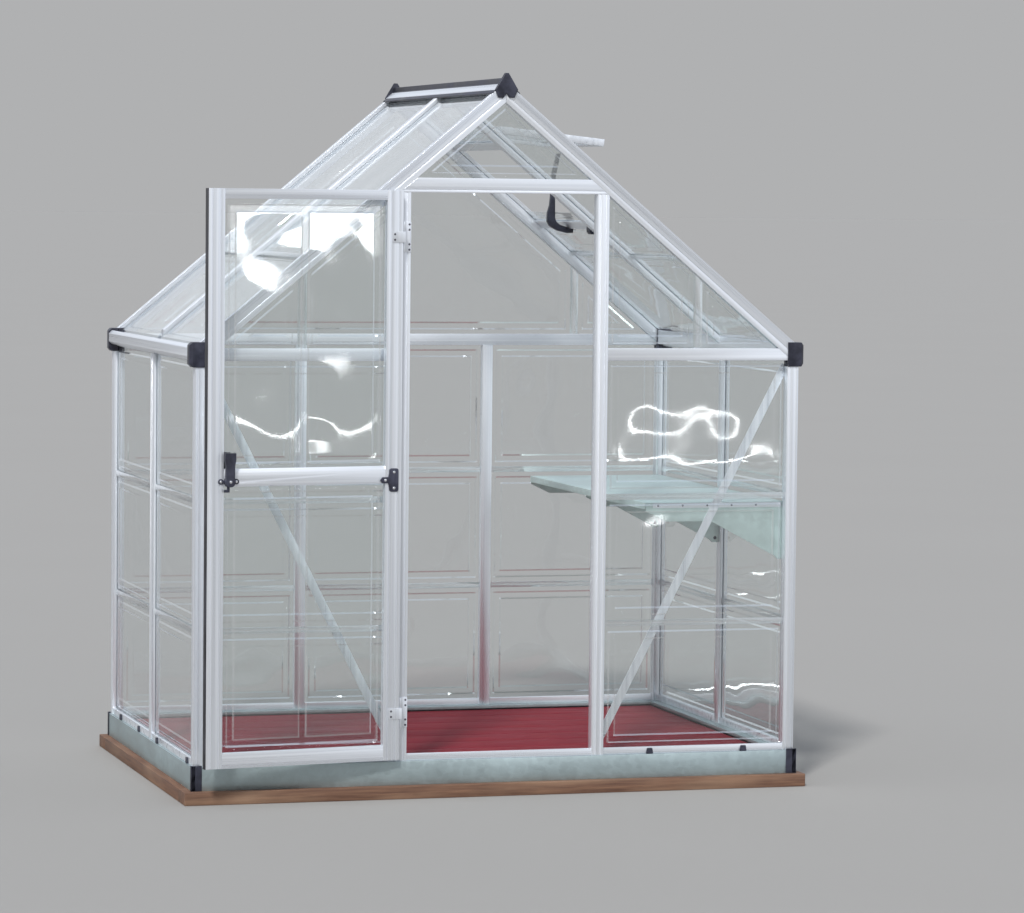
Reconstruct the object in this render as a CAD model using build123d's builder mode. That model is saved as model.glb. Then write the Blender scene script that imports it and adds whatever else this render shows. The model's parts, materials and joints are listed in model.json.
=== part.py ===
from build123d import *

import os
from math import cos, radians, sin, tan

os.makedirs("parts", exist_ok=True)

# A small clear-sheet greenhouse: millimetres, +Z up, front face towards -Y.
# The origin is at the plan centre, on the underside of the timber sill.

# Overall plan and levels
base_width = 1850.0
base_depth = 1280.0
base_height = 70.0
sill_height = 38.0
sill_width = 95.0
sill_projection = 22.0
frame_inset = 8.0
eave_height = 1318.0
roof_pitch = 40.0

# Bars and rails of the frame
post_width = 34.0
post_core = 12.0
wall_post_depth = 24.0
jamb_width = 37.0
door_opening_width = 566.0
lintel_corner = 4.5
lintel_height = 43.0
lintel_depth = 26.0
eave_rail_drop = 42.0
eave_rail_height = 36.0
eave_rail_depth = 20.0
bottom_rail_height = 20.0
bottom_rail_depth = 16.0
bottom_rail_inset = 2.0
back_post_pitch = 617.0
rafter_width = 26.0
rafter_depth = 45.0
mid_rafter_width = 34.0
mid_rafter_depth = 32.0
mitre_gap = 0.5
groove_width = 3.0
groove_depth = 1.5
groove_spread = 8.0
rafter_groove_drop = 28.0

# Galvanised base rails and their corner caps
base_sheet = 2.0
base_top_flange = 52.0
base_bottom_flange = 30.0
base_lip = 10.0
cap_leg = 14.0
cap_sheet = 2.5
cap_rise = 4.0

# Clear sheets, the slots that hold them and the bars that join them
sheet = 2.0
sheet_inset = 12.0
slot_play = 0.3
slot_depth = 7.0
sheet_end_gap = 1.0
joiner_height = 18.0
joiner_depth = 9.0
lower_joiner_share = 0.322
upper_joiner_share = 0.649
gable_joiner_width = 26.0
roof_joiner_run = 590.0
ridge_inset = 20.0
ridge_width = 25.0
ridge_rise = 3.0

# Gutter and eave caps
gutter_width = 50.0
gutter_outside = 17.0
gutter_drop = 38.0
gutter_height = 43.0
gutter_sheet = 2.0
gutter_lip = 6.0
eave_cap_drop = 60.0
eave_cap_height = 72.0
eave_cap_face = 4.0
eave_cap_chamfer = 9.0

# Ridge
ridge_beam_width = 44.0
ridge_beam_depth = 62.0
ridge_cover_width = 84.0
ridge_cover_sheet = 3.0
ridge_crest_width = 16.0
ridge_crest_height = 12.0
ridge_cap_width = 70.0
ridge_cap_top = 26.0
ridge_cap_tip = 6.0
ridge_cap_shoulder = 22.0
ridge_cap_foot = 46.0
ridge_cap_foot_out = 24.0
ridge_cap_foot_in = 9.0
ridge_cap_notch = 34.0
ridge_cap_sheet = 7.0

# Floor
bearer_width = 45.0
board_thickness = 24.0
board_count = 8
board_gap = 4.0
floor_drop = 14.0
floor_clearance = 3.0

# Diagonal braces of the front
brace_width = 25.0
brace_sheet = 2.0
brace_lap = 4.0
brace_head_drop = 14.0
brace_foot_rise = 42.0

# Shelf on the right wall
shelf_level = 852.0
shelf_depth = 440.0
shelf_sheet = 2.0
shelf_lip = 20.0
shelf_end_gap = 1.0
bracket_sheet = 3.0
bracket_drop = 170.0
bracket_tip = 22.0
bracket_flange = 24.0

# Roof vent, propped open in the right slope of the back bay
vent_top_run = 175.0
vent_bottom_run = 432.0
vent_sill_run = 490.0
vent_bar = 34.0
vent_depth = 22.0
vent_tilt = 6.0
vent_side_gap = 8.0
vent_hinge_width = 8.0
stay_width = 14.0
stay_sheet = 6.0
stay_reach = 74.0
stay_crook = 80.0
stay_lap = 30.0
stay_bend = 12.0

# Door leaf, hinged on the left jamb
leaf_lap = 13.0
leaf_start = 6.0
leaf_thickness = 20.0
leaf_gap = 9.0
leaf_foot_gap = 8.0
leaf_head_lap = 6.0
stile_width = 50.0
top_rail_height = 29.0
bottom_rail_leaf = 44.0
mid_rail_rise = 807.5
mid_rail_height = 50.0
mid_rail_slant = 13.0
mid_rail_lean = 4.0
pane_rib_width = 27.0
hinge_setback = 26.0
open_angle = 171.5
seal_proud = 2.0

# Door hinges and handle
hinge_from_end = 135.0
hinge_plate_height = 88.0
hinge_plate_width = 28.0
leaf_plate_width = 42.0
hinge_sheet = 2.0
hinge_web = 3.0
hinge_pin = 5.0
pin_play = 0.05
knuckle_diameter = 8.0
knuckle_height = 32.0
knuckle_play = 0.2
handle_setback = 64.0
handle_lift = 14.0
handle_grip = 82.0
handle_width = 33.0
handle_waist = 26.0
handle_shoulder = 62.0
handle_neck = 46.0
handle_boss = 15.0
handle_thickness = 12.0
handle_standoff = 8.0
latch_reach = 17.0
latch_drop = 30.0
latch_width = 8.0
spindle_diameter = 8.0
spindle_play = 0.05

# Black fittings on the leaf: the handle's plates and the connector by the hinges
fitting_sheet = 3.0
eye_spread = 23.5
eye_radius = 8.0
rivet_hole = 3.0
connector_run = 30.0
connector_width = 28.0
connector_height = 68.0
connector_drop = 16.0
connector_reach = 73.0
connector_eye_back = 16.0
connector_nose = 9.0
connector_root = 22.0
connector_eye_spread = 23.0

# Sizes that follow from the ones above
half_width = base_width / 2 - frame_inset
half_depth = base_depth / 2 - frame_inset
base_top = sill_height + base_height
slope = radians(roof_pitch)
apex_height = eave_height + half_width * tan(slope)
slope_length = half_width / cos(slope)
post_inner_x = half_width - post_width
post_inner_y = half_depth - post_width
jamb_inner = door_opening_width / 2
jamb_outer = jamb_inner + jamb_width
rail_top = base_top + bottom_rail_height
eave_rail_bottom = eave_height - eave_rail_drop
eave_rail_top = eave_rail_bottom + eave_rail_height
gutter_bottom = eave_height - gutter_drop
eave_cap_bottom = eave_height - eave_cap_drop
eave_cap_top = eave_cap_bottom + eave_cap_height
rafter_drop = rafter_depth / cos(slope)
lintel_bottom = apex_height - rafter_drop - (jamb_outer - lintel_corner) * tan(slope)
lintel_top = lintel_bottom + lintel_height
wall_height = eave_rail_bottom - rail_top
joiner_levels = (rail_top + lower_joiner_share * wall_height, rail_top + upper_joiner_share * wall_height)
slot_width = sheet + 2 * slot_play
slot_centre = sheet_inset + sheet / 2
sheet_entry = slot_depth - sheet_end_gap

# The door leaf reaches from the line of its hinges past the right jamb
hinge_x = -(jamb_inner + hinge_setback)
hinge_y = -(half_depth + leaf_gap + leaf_thickness / 2)
leaf_length = jamb_inner + leaf_lap - hinge_x
leaf_bottom = base_top + leaf_foot_gap
leaf_top = lintel_bottom + leaf_head_lap
mid_rail_bottom = leaf_bottom + mid_rail_rise
mid_rail_middle = mid_rail_bottom + mid_rail_height / 2
hinge_levels = (leaf_top - hinge_from_end, leaf_bottom + hinge_from_end)
handle_run = leaf_length - handle_setback
handle_level = mid_rail_bottom + handle_lift


def down_slope(x, depth):
    """Distance down the slope of a point over x, at a depth under the roof."""
    return (x + depth * sin(slope)) / cos(slope)


def slope_point(at, depth):
    """Point (x, z) at a distance down the right slope and a depth under it."""
    return (at * cos(slope) - depth * sin(slope), apex_height - at * sin(slope) - depth * cos(slope))


def roof_height(x):
    """Height of the outer roof plane over a point x of the plan."""
    return apex_height - abs(x) * tan(slope)


def slot(x, y, width, depth):
    """Cut a slot, centred on (x, y), out of the profile being drawn."""
    with Locations((x, y)):
        Rectangle(width, depth, mode=Mode.SUBTRACT)


def upright(
    x, y, width, depth, low, high, front_slots=(), side_slots=(), core=0.0, front_face=0, side_face=0
):
    """Stand a bar up at (x, y), with sheet slots given as centres in plan.

    A face is the side, -1 or 1, on which the bar has a pair of long grooves.
    """
    with BuildSketch(Plane.XY.offset(low)) as profile:
        with Locations((x, y)):
            Rectangle(width, depth)
            if core:
                Rectangle(core, core, mode=Mode.SUBTRACT)
        for slot_x, slot_y in front_slots:
            slot(slot_x, slot_y, slot_depth, slot_width)
        for slot_x, slot_y in side_slots:
            slot(slot_x, slot_y, slot_width, slot_depth)
        for offset in (-groove_spread, groove_spread):
            if front_face:
                slot(x + offset, y + front_face * (depth - groove_depth) / 2, groove_width, groove_depth)
            if side_face:
                slot(x + side_face * (width - groove_depth) / 2, y + offset, groove_depth, groove_width)
    extrude(profile.sketch, amount=high - low)


# Planes that lie in the slope of the roof. Across the bar runs local x, out of
# the roof runs local y, and down the slope runs the normal.
right_slope_section = Plane(
    origin=(0, 0, apex_height), x_dir=(0, 1, 0), z_dir=(cos(slope), 0, -sin(slope))
)
# Across the slope, level with the ground, runs local x and up it runs local y.
right_slope_face = Plane(
    origin=(0, 0, apex_height), x_dir=(0, 1, 0), z_dir=(sin(slope), 0, cos(slope))
)


def gable_inside(low):
    """Draw the outline inside the rafters of a gable, down to a level."""
    top = apex_height - rafter_drop
    reach = (top - low) / tan(slope)
    with BuildLine() as outline:
        Polyline((-reach, low), (0, top), (reach, low), close=True)
    make_face(outline.edges())


# Timber sill that the greenhouse stands on
sill_outer_x = base_width / 2 + sill_projection
sill_outer_y = base_depth / 2 + sill_projection
sill_mid_y = sill_outer_y - sill_width / 2
sill_mid_x = sill_outer_x - sill_width / 2

with BuildPart() as timber_sill_ends:
    with BuildSketch():
        with Locations((0, -sill_mid_y), (0, sill_mid_y)):
            Rectangle(2 * sill_outer_x, sill_width)
    extrude(amount=sill_height)

with BuildPart() as timber_sill_sides:
    with BuildSketch():
        with Locations((-sill_mid_x, 0), (sill_mid_x, 0)):
            Rectangle(sill_width, 2 * (sill_outer_y - sill_width))
    extrude(amount=sill_height)

# Raised board floor inside the base
floor_half_x = base_width / 2 - base_top_flange - floor_clearance
floor_half_y = base_depth / 2 - base_top_flange - floor_clearance
board_width = (2 * floor_half_y - (board_count - 1) * board_gap) / board_count
bearer_top = base_top - floor_drop - board_thickness
bearer_length = 2 * (sill_outer_y - sill_width)

with BuildPart() as floor_bearers:
    with BuildSketch():
        with GridLocations((2 * floor_half_x - 3 * bearer_width) / 2, 0, 3, 1):
            Rectangle(bearer_width, bearer_length)
    extrude(amount=bearer_top)

with BuildPart() as floor_boards:
    with BuildSketch(Plane.XY.offset(bearer_top)):
        with GridLocations(0, board_width + board_gap, 1, board_count):
            Rectangle(2 * floor_half_x, board_width)
    extrude(amount=board_thickness)


# Galvanised base: four folded rails, mitred at the corners
def base_profile():
    """Draw the folded section, its outer face on local x = 0, standing on y = 0."""
    with Locations((base_sheet / 2, base_height / 2)):
        Rectangle(base_sheet, base_height)
    with Locations((base_top_flange / 2, base_height - base_sheet / 2)):
        Rectangle(base_top_flange, base_sheet)
    with Locations((base_bottom_flange / 2, base_sheet / 2)):
        Rectangle(base_bottom_flange, base_sheet)
    with Locations((base_top_flange - base_sheet / 2, base_height - base_lip / 2)):
        Rectangle(base_sheet, base_lip)


base_face_x = base_width / 2 - cap_sheet
base_face_y = base_depth / 2 - cap_sheet
left_mitre = Plane(origin=(-base_face_x, -base_face_y, 0), x_dir=(0, 0, 1), z_dir=(1, -1, 0))
right_mitre = Plane(origin=(base_face_x, -base_face_y, 0), x_dir=(0, 0, 1), z_dir=(-1, -1, 0))

with BuildPart() as base_front_rail:
    front_section = Plane(origin=(0, -base_face_y, sill_height), x_dir=(0, 1, 0), z_dir=(1, 0, 0))
    with BuildSketch(front_section):
        base_profile()
    extrude(amount=base_face_x, both=True)
    split(bisect_by=left_mitre)
    split(bisect_by=right_mitre)

back_left_mitre = Plane(origin=(-base_face_x, base_face_y, 0), x_dir=(0, 0, 1), z_dir=(-1, -1, 0))
front_left_mitre = Plane(origin=(-base_face_x, -base_face_y, 0), x_dir=(0, 0, 1), z_dir=(-1, 1, 0))

with BuildPart() as base_left_rail:
    left_section = Plane(origin=(-base_face_x, 0, sill_height), x_dir=(1, 0, 0), z_dir=(0, -1, 0))
    with BuildSketch(left_section):
        base_profile()
    extrude(amount=base_face_y, both=True)
    split(bisect_by=front_left_mitre)
    split(bisect_by=back_left_mitre)

with BuildPart() as base_ends:
    add(base_front_rail.part)
    mirror(base_front_rail.part, about=Plane.XZ)

with BuildPart() as base_sides:
    add(base_left_rail.part)
    mirror(base_left_rail.part, about=Plane.YZ)

with BuildPart() as base_corner_caps:
    with BuildSketch(Plane.XY.offset(sill_height)):
        with GridLocations(base_width - cap_leg, base_depth - cap_leg, 2, 2):
            Rectangle(cap_leg, cap_leg)
        Rectangle(2 * base_face_x, 2 * base_face_y, mode=Mode.SUBTRACT)
    extrude(amount=base_height + cap_rise)


# Uprights of the walls
corner_x = half_width - post_width / 2
corner_y = half_depth - post_width / 2
sheet_y = half_depth - slot_centre
sheet_x = half_width - slot_centre
post_slot_x = post_inner_x + slot_depth / 2
post_slot_y = post_inner_y + slot_depth / 2

with BuildPart() as right_front_post:
    upright(
        corner_x, -corner_y, post_width, post_width, base_top, eave_cap_bottom,
        front_slots=[(post_slot_x, -sheet_y)], side_slots=[(sheet_x, -post_slot_y)], core=post_core,
        front_face=-1, side_face=1,
    )

with BuildPart() as right_posts:
    add(right_front_post.part)
    mirror(right_front_post.part, about=Plane.XZ)

with BuildPart() as corner_posts:
    add(right_posts.part)
    mirror(right_posts.part, about=Plane.YZ)

side_post_x = half_width - wall_post_depth / 2
side_post_slot = post_width / 2 - slot_depth / 2
with BuildPart() as right_side_post:
    upright(
        side_post_x, 0, wall_post_depth, post_width, base_top, gutter_bottom - gutter_lip,
        side_slots=[(sheet_x, -side_post_slot), (sheet_x, side_post_slot)], side_face=1,
    )

with BuildPart() as side_posts:
    add(right_side_post.part)
    mirror(right_side_post.part, about=Plane.YZ)

back_post_x = back_post_pitch / 2
back_post_slot = post_width / 2 - slot_depth / 2
with BuildPart() as back_posts:
    for x in (-back_post_x, back_post_x):
        upright(
            x, half_depth - wall_post_depth / 2, post_width, wall_post_depth,
            base_top, eave_rail_bottom,
            front_slots=[(x - back_post_slot, sheet_y), (x + back_post_slot, sheet_y)], front_face=1,
        )

# The jambs of the doorway run up to the lintel and are cut along the rafters
jamb_x = (jamb_inner + jamb_outer) / 2
with BuildPart() as right_jamb:
    upright(
        jamb_x, -corner_y, jamb_width, post_width, base_top, lintel_bottom,
        front_slots=[(jamb_outer - slot_depth / 2, -sheet_y)], front_face=-1,
    )
    with BuildSketch(Plane.XZ.offset(half_depth)):
        gable_inside(0)
    extrude(amount=-post_width, mode=Mode.INTERSECT)

with BuildPart() as door_jambs:
    add(right_jamb.part)
    mirror(right_jamb.part, about=Plane.YZ)

# The lintel carries the gable sheet in a slot along its top
with BuildPart() as lintel:
    with BuildSketch(Plane.YZ):
        with Locations((-(half_depth - lintel_depth / 2), lintel_bottom + lintel_height / 2)):
            Rectangle(lintel_depth, lintel_height)
        slot(-sheet_y, lintel_top - slot_depth / 2, slot_width, slot_depth)
        groove_y = -half_depth + groove_depth / 2
        slot(groove_y, lintel_bottom + groove_spread, groove_depth, groove_width)
    extrude(amount=jamb_outer, both=True)
    with BuildSketch(Plane.XZ.offset(half_depth)):
        gable_inside(0)
    extrude(amount=-lintel_depth, mode=Mode.INTERSECT)


# Eave rails of the two gable walls
def eave_rail(section_plane, side, length, wall_y):
    """Run an eave rail along x from a plane, with slots above and below."""
    with BuildSketch(section_plane) as profile:
        with Locations((wall_y - side * eave_rail_depth / 2, eave_rail_bottom + eave_rail_height / 2)):
            Rectangle(eave_rail_depth, eave_rail_height)
        slot(side * sheet_y, eave_rail_top - slot_depth / 2, slot_width, slot_depth)
        slot(side * sheet_y, eave_rail_bottom + slot_depth / 2, slot_width, slot_depth)
    extrude(profile.sketch, amount=length)


with BuildPart() as eave_rails:
    eave_rail(Plane.YZ.offset(jamb_outer), -1, post_inner_x - jamb_outer, -half_depth)
    eave_rail(Plane.YZ.offset(-post_inner_x), -1, post_inner_x - jamb_outer, -half_depth)
    eave_rail(Plane.YZ.offset(-post_inner_x), 1, 2 * post_inner_x, half_depth)
    with BuildSketch(Plane.XZ.offset(half_depth)):
        gable_inside(0)
    extrude(amount=-2 * half_depth, mode=Mode.INTERSECT)


# Bottom rails, standing on the base between the uprights
bottom_rail_y = half_depth - bottom_rail_inset - bottom_rail_depth / 2
bottom_rail_x = half_width - bottom_rail_inset - bottom_rail_depth / 2


def rail_along_x(low_x, high_x, side):
    """Lay a bottom rail along the front (side -1) or the back (side 1)."""
    with BuildSketch(Plane.YZ.offset(low_x)) as profile:
        with Locations((side * bottom_rail_y, base_top + bottom_rail_height / 2)):
            Rectangle(bottom_rail_depth, bottom_rail_height)
        slot(side * sheet_y, rail_top - slot_depth / 2, slot_width, slot_depth)
    extrude(profile.sketch, amount=high_x - low_x)


def rail_along_y(low_y, high_y, side):
    """Lay a bottom rail along the left (side -1) or the right (side 1)."""
    with BuildSketch(Plane.XZ.offset(-low_y)) as profile:
        with Locations((side * bottom_rail_x, base_top + bottom_rail_height / 2)):
            Rectangle(bottom_rail_depth, bottom_rail_height)
        slot(side * sheet_x, rail_top - slot_depth / 2, slot_width, slot_depth)
    extrude(profile.sketch, amount=-(high_y - low_y))


with BuildPart() as bottom_rails:
    rail_along_x(-post_inner_x, -jamb_outer, -1)
    rail_along_x(-jamb_inner, jamb_inner, -1)
    rail_along_x(jamb_outer, post_inner_x, -1)
    rail_along_x(-post_inner_x, -back_post_x - post_width / 2, 1)
    rail_along_x(-back_post_x + post_width / 2, back_post_x - post_width / 2, 1)
    rail_along_x(back_post_x + post_width / 2, post_inner_x, 1)
    for side in (-1, 1):
        rail_along_y(-post_inner_y, -post_width / 2, side)
        rail_along_y(post_width / 2, post_inner_y, side)


# Flat bars between the sheets of the walls, slotted above and below
def joiner_along_x(low_x, high_x, side, level):
    """Lay a joining bar along the front or back wall at a level."""
    with BuildSketch(Plane.YZ.offset(low_x)) as profile:
        with Locations((side * sheet_y, level)):
            Rectangle(joiner_depth, joiner_height)
        for offset in (-1, 1):
            slot(side * sheet_y, level + offset * (joiner_height - slot_depth) / 2, slot_width, slot_depth)
    extrude(profile.sketch, amount=high_x - low_x)


def joiner_along_y(low_y, high_y, side, level):
    """Lay a joining bar along the left or right wall at a level."""
    with BuildSketch(Plane.XZ.offset(-low_y)) as profile:
        with Locations((side * sheet_x, level)):
            Rectangle(joiner_depth, joiner_height)
        for offset in (-1, 1):
            slot(side * sheet_x, level + offset * (joiner_height - slot_depth) / 2, slot_width, slot_depth)
    extrude(profile.sketch, amount=-(high_y - low_y))


front_bays = ((-post_inner_x, -jamb_outer), (jamb_outer, post_inner_x))
back_bays = (
    (-post_inner_x, -back_post_x - post_width / 2),
    (-back_post_x + post_width / 2, back_post_x - post_width / 2),
    (back_post_x + post_width / 2, post_inner_x),
)
side_bays = ((-post_inner_y, -post_width / 2), (post_width / 2, post_inner_y))

with BuildPart() as front_joiners:
    for level in joiner_levels:
        for low, high in front_bays:
            joiner_along_x(low, high, -1, level)

with BuildPart() as back_joiners:
    for level in joiner_levels:
        for low, high in back_bays:
            joiner_along_x(low, high, 1, level)

with BuildPart() as left_joiners:
    for level in joiner_levels:
        for low, high in side_bays:
            joiner_along_y(low, high, -1, level)

with BuildPart() as right_joiners:
    mirror(left_joiners.part, about=Plane.YZ)


# Gutters along both eaves. Their inner wall rises to just below the roof
# sheets, and a pair of lips underneath holds the tops of the wall sheets.
gutter_outer = half_width + gutter_outside
gutter_inner = gutter_outer - gutter_width
gutter_top = gutter_bottom + gutter_height
sheet_under = (sheet_inset + sheet) / cos(slope)
gutter_inner_top = roof_height(gutter_inner + gutter_sheet) - sheet_under - slot_play
with BuildPart() as gutter_right:
    with BuildSketch(Plane.XZ.offset(post_inner_y)):
        fold = gutter_sheet * tan(radians(22.5))
        with BuildLine():
            Polyline(
                (gutter_inner, gutter_bottom),
                (gutter_outer - eave_cap_chamfer, gutter_bottom),
                (gutter_outer, gutter_bottom + eave_cap_chamfer),
                (gutter_outer, gutter_top - eave_cap_chamfer),
                (gutter_outer - eave_cap_chamfer, gutter_top),
                (gutter_outer - eave_cap_chamfer - gutter_sheet - fold, gutter_top),
                (gutter_outer - gutter_sheet, gutter_top - eave_cap_chamfer - fold),
                (gutter_outer - gutter_sheet, gutter_bottom + eave_cap_chamfer + fold),
                (gutter_outer - eave_cap_chamfer - fold, gutter_bottom + gutter_sheet),
                (gutter_inner, gutter_bottom + gutter_sheet),
                close=True,
            )
        make_face()
        with Locations((gutter_inner + gutter_sheet / 2, (gutter_bottom + gutter_inner_top) / 2)):
            Rectangle(gutter_sheet, gutter_inner_top - gutter_bottom)
        lip_offset = (slot_width + gutter_sheet) / 2
        with Locations((sheet_x - lip_offset, gutter_bottom - gutter_lip / 2)):
            Rectangle(gutter_sheet, gutter_lip)
        with Locations((sheet_x + lip_offset, gutter_bottom - gutter_lip / 2)):
            Rectangle(gutter_sheet, gutter_lip)
    extrude(amount=-2 * post_inner_y)

with BuildPart() as gutter_left:
    mirror(gutter_right.part, about=Plane.YZ)

# Faceted black caps over the ends of the gutters and the tops of the posts
with BuildPart() as right_front_cap:
    with BuildSketch(Plane.XY.offset(eave_cap_bottom)):
        with BuildLine():
            cap_front = -(half_depth + eave_cap_face)
            Polyline(
                (post_inner_x, cap_front),
                (gutter_outer - eave_cap_chamfer, cap_front),
                (gutter_outer, cap_front + eave_cap_chamfer),
                (gutter_outer, -post_inner_y),
                (post_inner_x, -post_inner_y),
                close=True,
            )
        make_face()
        slot(post_slot_x, -sheet_y, slot_depth, slot_width)
        slot(sheet_x, -post_slot_y, slot_width, slot_depth)
    extrude(amount=eave_cap_height)
    outer_edges = faces().sort_by(Axis.X)[-1].edges().filter_by(Axis.Y)
    chamfer(outer_edges, length=eave_cap_chamfer)

with BuildPart() as right_caps:
    add(right_front_cap.part)
    mirror(right_front_cap.part, about=Plane.XZ)

with BuildPart() as eave_corner_caps:
    add(right_caps.part)
    mirror(right_caps.part, about=Plane.YZ)


# Rafters: the front pair, mirrored to the back, and the pair in the middle
def cap_clearance():
    """Cut away what the eave cap and the wall's face take from a rafter."""
    reach = 4 * post_width
    with Locations((post_inner_x, 0, eave_cap_top)):
        Box(
            reach, 3 * base_depth, 2 * eave_cap_height,
            align=(Align.MIN, Align.CENTER, Align.MAX), mode=Mode.SUBTRACT,
        )


with BuildPart() as right_front_rafter:
    with BuildSketch(right_slope_section.offset(-post_width)):
        with Locations((-(half_depth - rafter_width / 2), -rafter_depth / 2)):
            Rectangle(rafter_width, rafter_depth)
        slot(-sheet_y, -rafter_depth + slot_depth / 2, slot_width, slot_depth)
        slot(-(half_depth - rafter_width + slot_depth / 2), -slot_centre, slot_depth, slot_width)
        slot(-half_depth + groove_depth / 2, -rafter_groove_drop, groove_depth, groove_width)
    extrude(amount=slope_length + 2 * post_width)
    split(bisect_by=Plane.YZ.offset(mitre_gap))
    split(bisect_by=Plane.YZ.offset(half_width), keep=Keep.BOTTOM)
    cap_clearance()

with BuildPart() as front_rafters:
    add(right_front_rafter.part)
    mirror(right_front_rafter.part, about=Plane.YZ)

with BuildPart() as back_rafters:
    mirror(front_rafters.part, about=Plane.XZ)

with BuildPart() as right_mid_rafter:
    with BuildSketch(right_slope_section.offset(-post_width)):
        with Locations((0, -mid_rafter_depth / 2)):
            Rectangle(mid_rafter_width, mid_rafter_depth)
        for side in (-1, 1):
            slot(side * (mid_rafter_width - slot_depth) / 2, -slot_centre, slot_depth, slot_width)
    extrude(amount=slope_length + post_width)
    split(bisect_by=Plane.YZ.offset(ridge_beam_width / 2))
    split(bisect_by=Plane.YZ.offset(gutter_inner), keep=Keep.BOTTOM)

with BuildPart() as mid_rafters:
    add(right_mid_rafter.part)
    mirror(right_mid_rafter.part, about=Plane.YZ)

# Ridge beam between the gables, with slots for the tops of the roof sheets
ridge_half_length = half_depth - rafter_width
beam_side = roof_height(ridge_beam_width / 2)
beam_bottom = apex_height - ridge_beam_depth
with BuildPart() as ridge_beam:
    with BuildSketch(Plane.XZ.offset(ridge_half_length)):
        with BuildLine():
            Polyline(
                (-ridge_beam_width / 2, beam_bottom),
                (ridge_beam_width / 2, beam_bottom),
                (ridge_beam_width / 2, beam_side),
                (0, apex_height),
                (-ridge_beam_width / 2, beam_side),
                close=True,
            )
        make_face()
        for side in (-1, 1):
            slot_x = ridge_beam_width / 2 - slot_depth / 2
            slot_z = roof_height(slot_x) - slot_centre / cos(slope)
            with Locations(Location((side * slot_x, slot_z), -side * roof_pitch)):
                Rectangle(2 * slot_depth, slot_width, mode=Mode.SUBTRACT)
    extrude(amount=-2 * ridge_half_length)

# Dark cover over the ridge, folded to the roof and crested along the middle
cover_edge = ridge_cover_width / 2
cover_rise = ridge_cover_sheet / cos(slope)
crest = ridge_crest_width / 2
with BuildPart() as ridge_cover:
    with BuildSketch(Plane.XZ.offset(half_depth)):
        with BuildLine():
            Polyline(
                (-cover_edge, roof_height(cover_edge)),
                (0, apex_height),
                (cover_edge, roof_height(cover_edge)),
                (cover_edge, roof_height(cover_edge) + cover_rise),
                (crest, roof_height(crest) + cover_rise),
                (crest, apex_height + ridge_crest_height),
                (-crest, apex_height + ridge_crest_height),
                (-crest, roof_height(crest) + cover_rise),
                (-cover_edge, roof_height(cover_edge) + cover_rise),
                close=True,
            )
        make_face()
    extrude(amount=-2 * half_depth)

# Kite-shaped caps on both ends of the ridge, notched over the gable's point
with BuildPart() as front_ridge_cap:
    with BuildSketch(Plane.XZ.offset(half_depth)):
        with BuildLine():
            Polyline(
                (ridge_cap_tip, apex_height + ridge_cap_top),
                (ridge_cap_width / 2, apex_height - ridge_cap_shoulder),
                (ridge_cap_foot_out, apex_height - ridge_cap_foot),
                (ridge_cap_foot_in, apex_height - ridge_cap_foot),
                (0, apex_height - ridge_cap_notch),
                (-ridge_cap_foot_in, apex_height - ridge_cap_foot),
                (-ridge_cap_foot_out, apex_height - ridge_cap_foot),
                (-ridge_cap_width / 2, apex_height - ridge_cap_shoulder),
                (-ridge_cap_tip, apex_height + ridge_cap_top),
                close=True,
            )
        make_face()
    extrude(amount=ridge_cap_sheet)
    chamfer(faces().sort_by(Axis.Y)[0].edges(), length=ridge_cap_sheet / 3)

with BuildPart() as ridge_end_caps:
    add(front_ridge_cap.part)
    mirror(front_ridge_cap.part, about=Plane.XZ)


# Clear sheets of the walls, each with a formed ridge along its four edges
def formed_ridge(width, height):
    """Draw the ring of the ridge that stiffens a sheet."""
    Rectangle(width - 2 * ridge_inset, height - 2 * ridge_inset)
    inner = ridge_inset + ridge_width
    Rectangle(width - 2 * inner, height - 2 * inner, mode=Mode.SUBTRACT)


def sheet_in_x(low_x, high_x, low_z, high_z, side):
    """Stand a sheet in the front or back wall."""
    middle = ((low_x + high_x) / 2, (low_z + high_z) / 2)
    with BuildSketch(Plane.XZ.offset(-side * (half_depth - sheet_inset - sheet))) as profile:
        with Locations(middle):
            Rectangle(high_x - low_x, high_z - low_z)
    extrude(profile.sketch, amount=-side * sheet)
    with BuildSketch(Plane.XZ.offset(-side * (half_depth - sheet_inset))) as profile:
        with Locations(middle):
            formed_ridge(high_x - low_x, high_z - low_z)
    extrude(profile.sketch, amount=-side * ridge_rise)


def sheet_in_y(low_y, high_y, low_z, high_z, side):
    """Stand a sheet in the left or right wall."""
    middle = ((low_y + high_y) / 2, (low_z + high_z) / 2)
    with BuildSketch(Plane.YZ.offset(side * (half_width - sheet_inset - sheet))) as profile:
        with Locations(middle):
            Rectangle(high_y - low_y, high_z - low_z)
    extrude(profile.sketch, amount=side * sheet)
    with BuildSketch(Plane.YZ.offset(side * (half_width - sheet_inset))) as profile:
        with Locations(middle):
            formed_ridge(high_y - low_y, high_z - low_z)
    extrude(profile.sketch, amount=side * ridge_rise)


joiner_half_gap = joiner_height / 2 - sheet_entry
lower_joiner, upper_joiner = joiner_levels
row_levels = (
    (rail_top - sheet_entry, lower_joiner - joiner_half_gap),
    (lower_joiner + joiner_half_gap, upper_joiner - joiner_half_gap),
    (upper_joiner + joiner_half_gap, eave_rail_bottom + sheet_entry),
)
side_row_tops = (row_levels[0][1], row_levels[1][1], gutter_bottom - slot_play)

with BuildPart() as front_wall_panels:
    for low, high in front_bays:
        for low_z, high_z in row_levels:
            sheet_in_x(low - sheet_entry, high + sheet_entry, low_z, high_z, -1)

with BuildPart() as back_wall_panels:
    for low, high in back_bays:
        for low_z, high_z in row_levels:
            sheet_in_x(low - sheet_entry, high + sheet_entry, low_z, high_z, 1)

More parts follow.
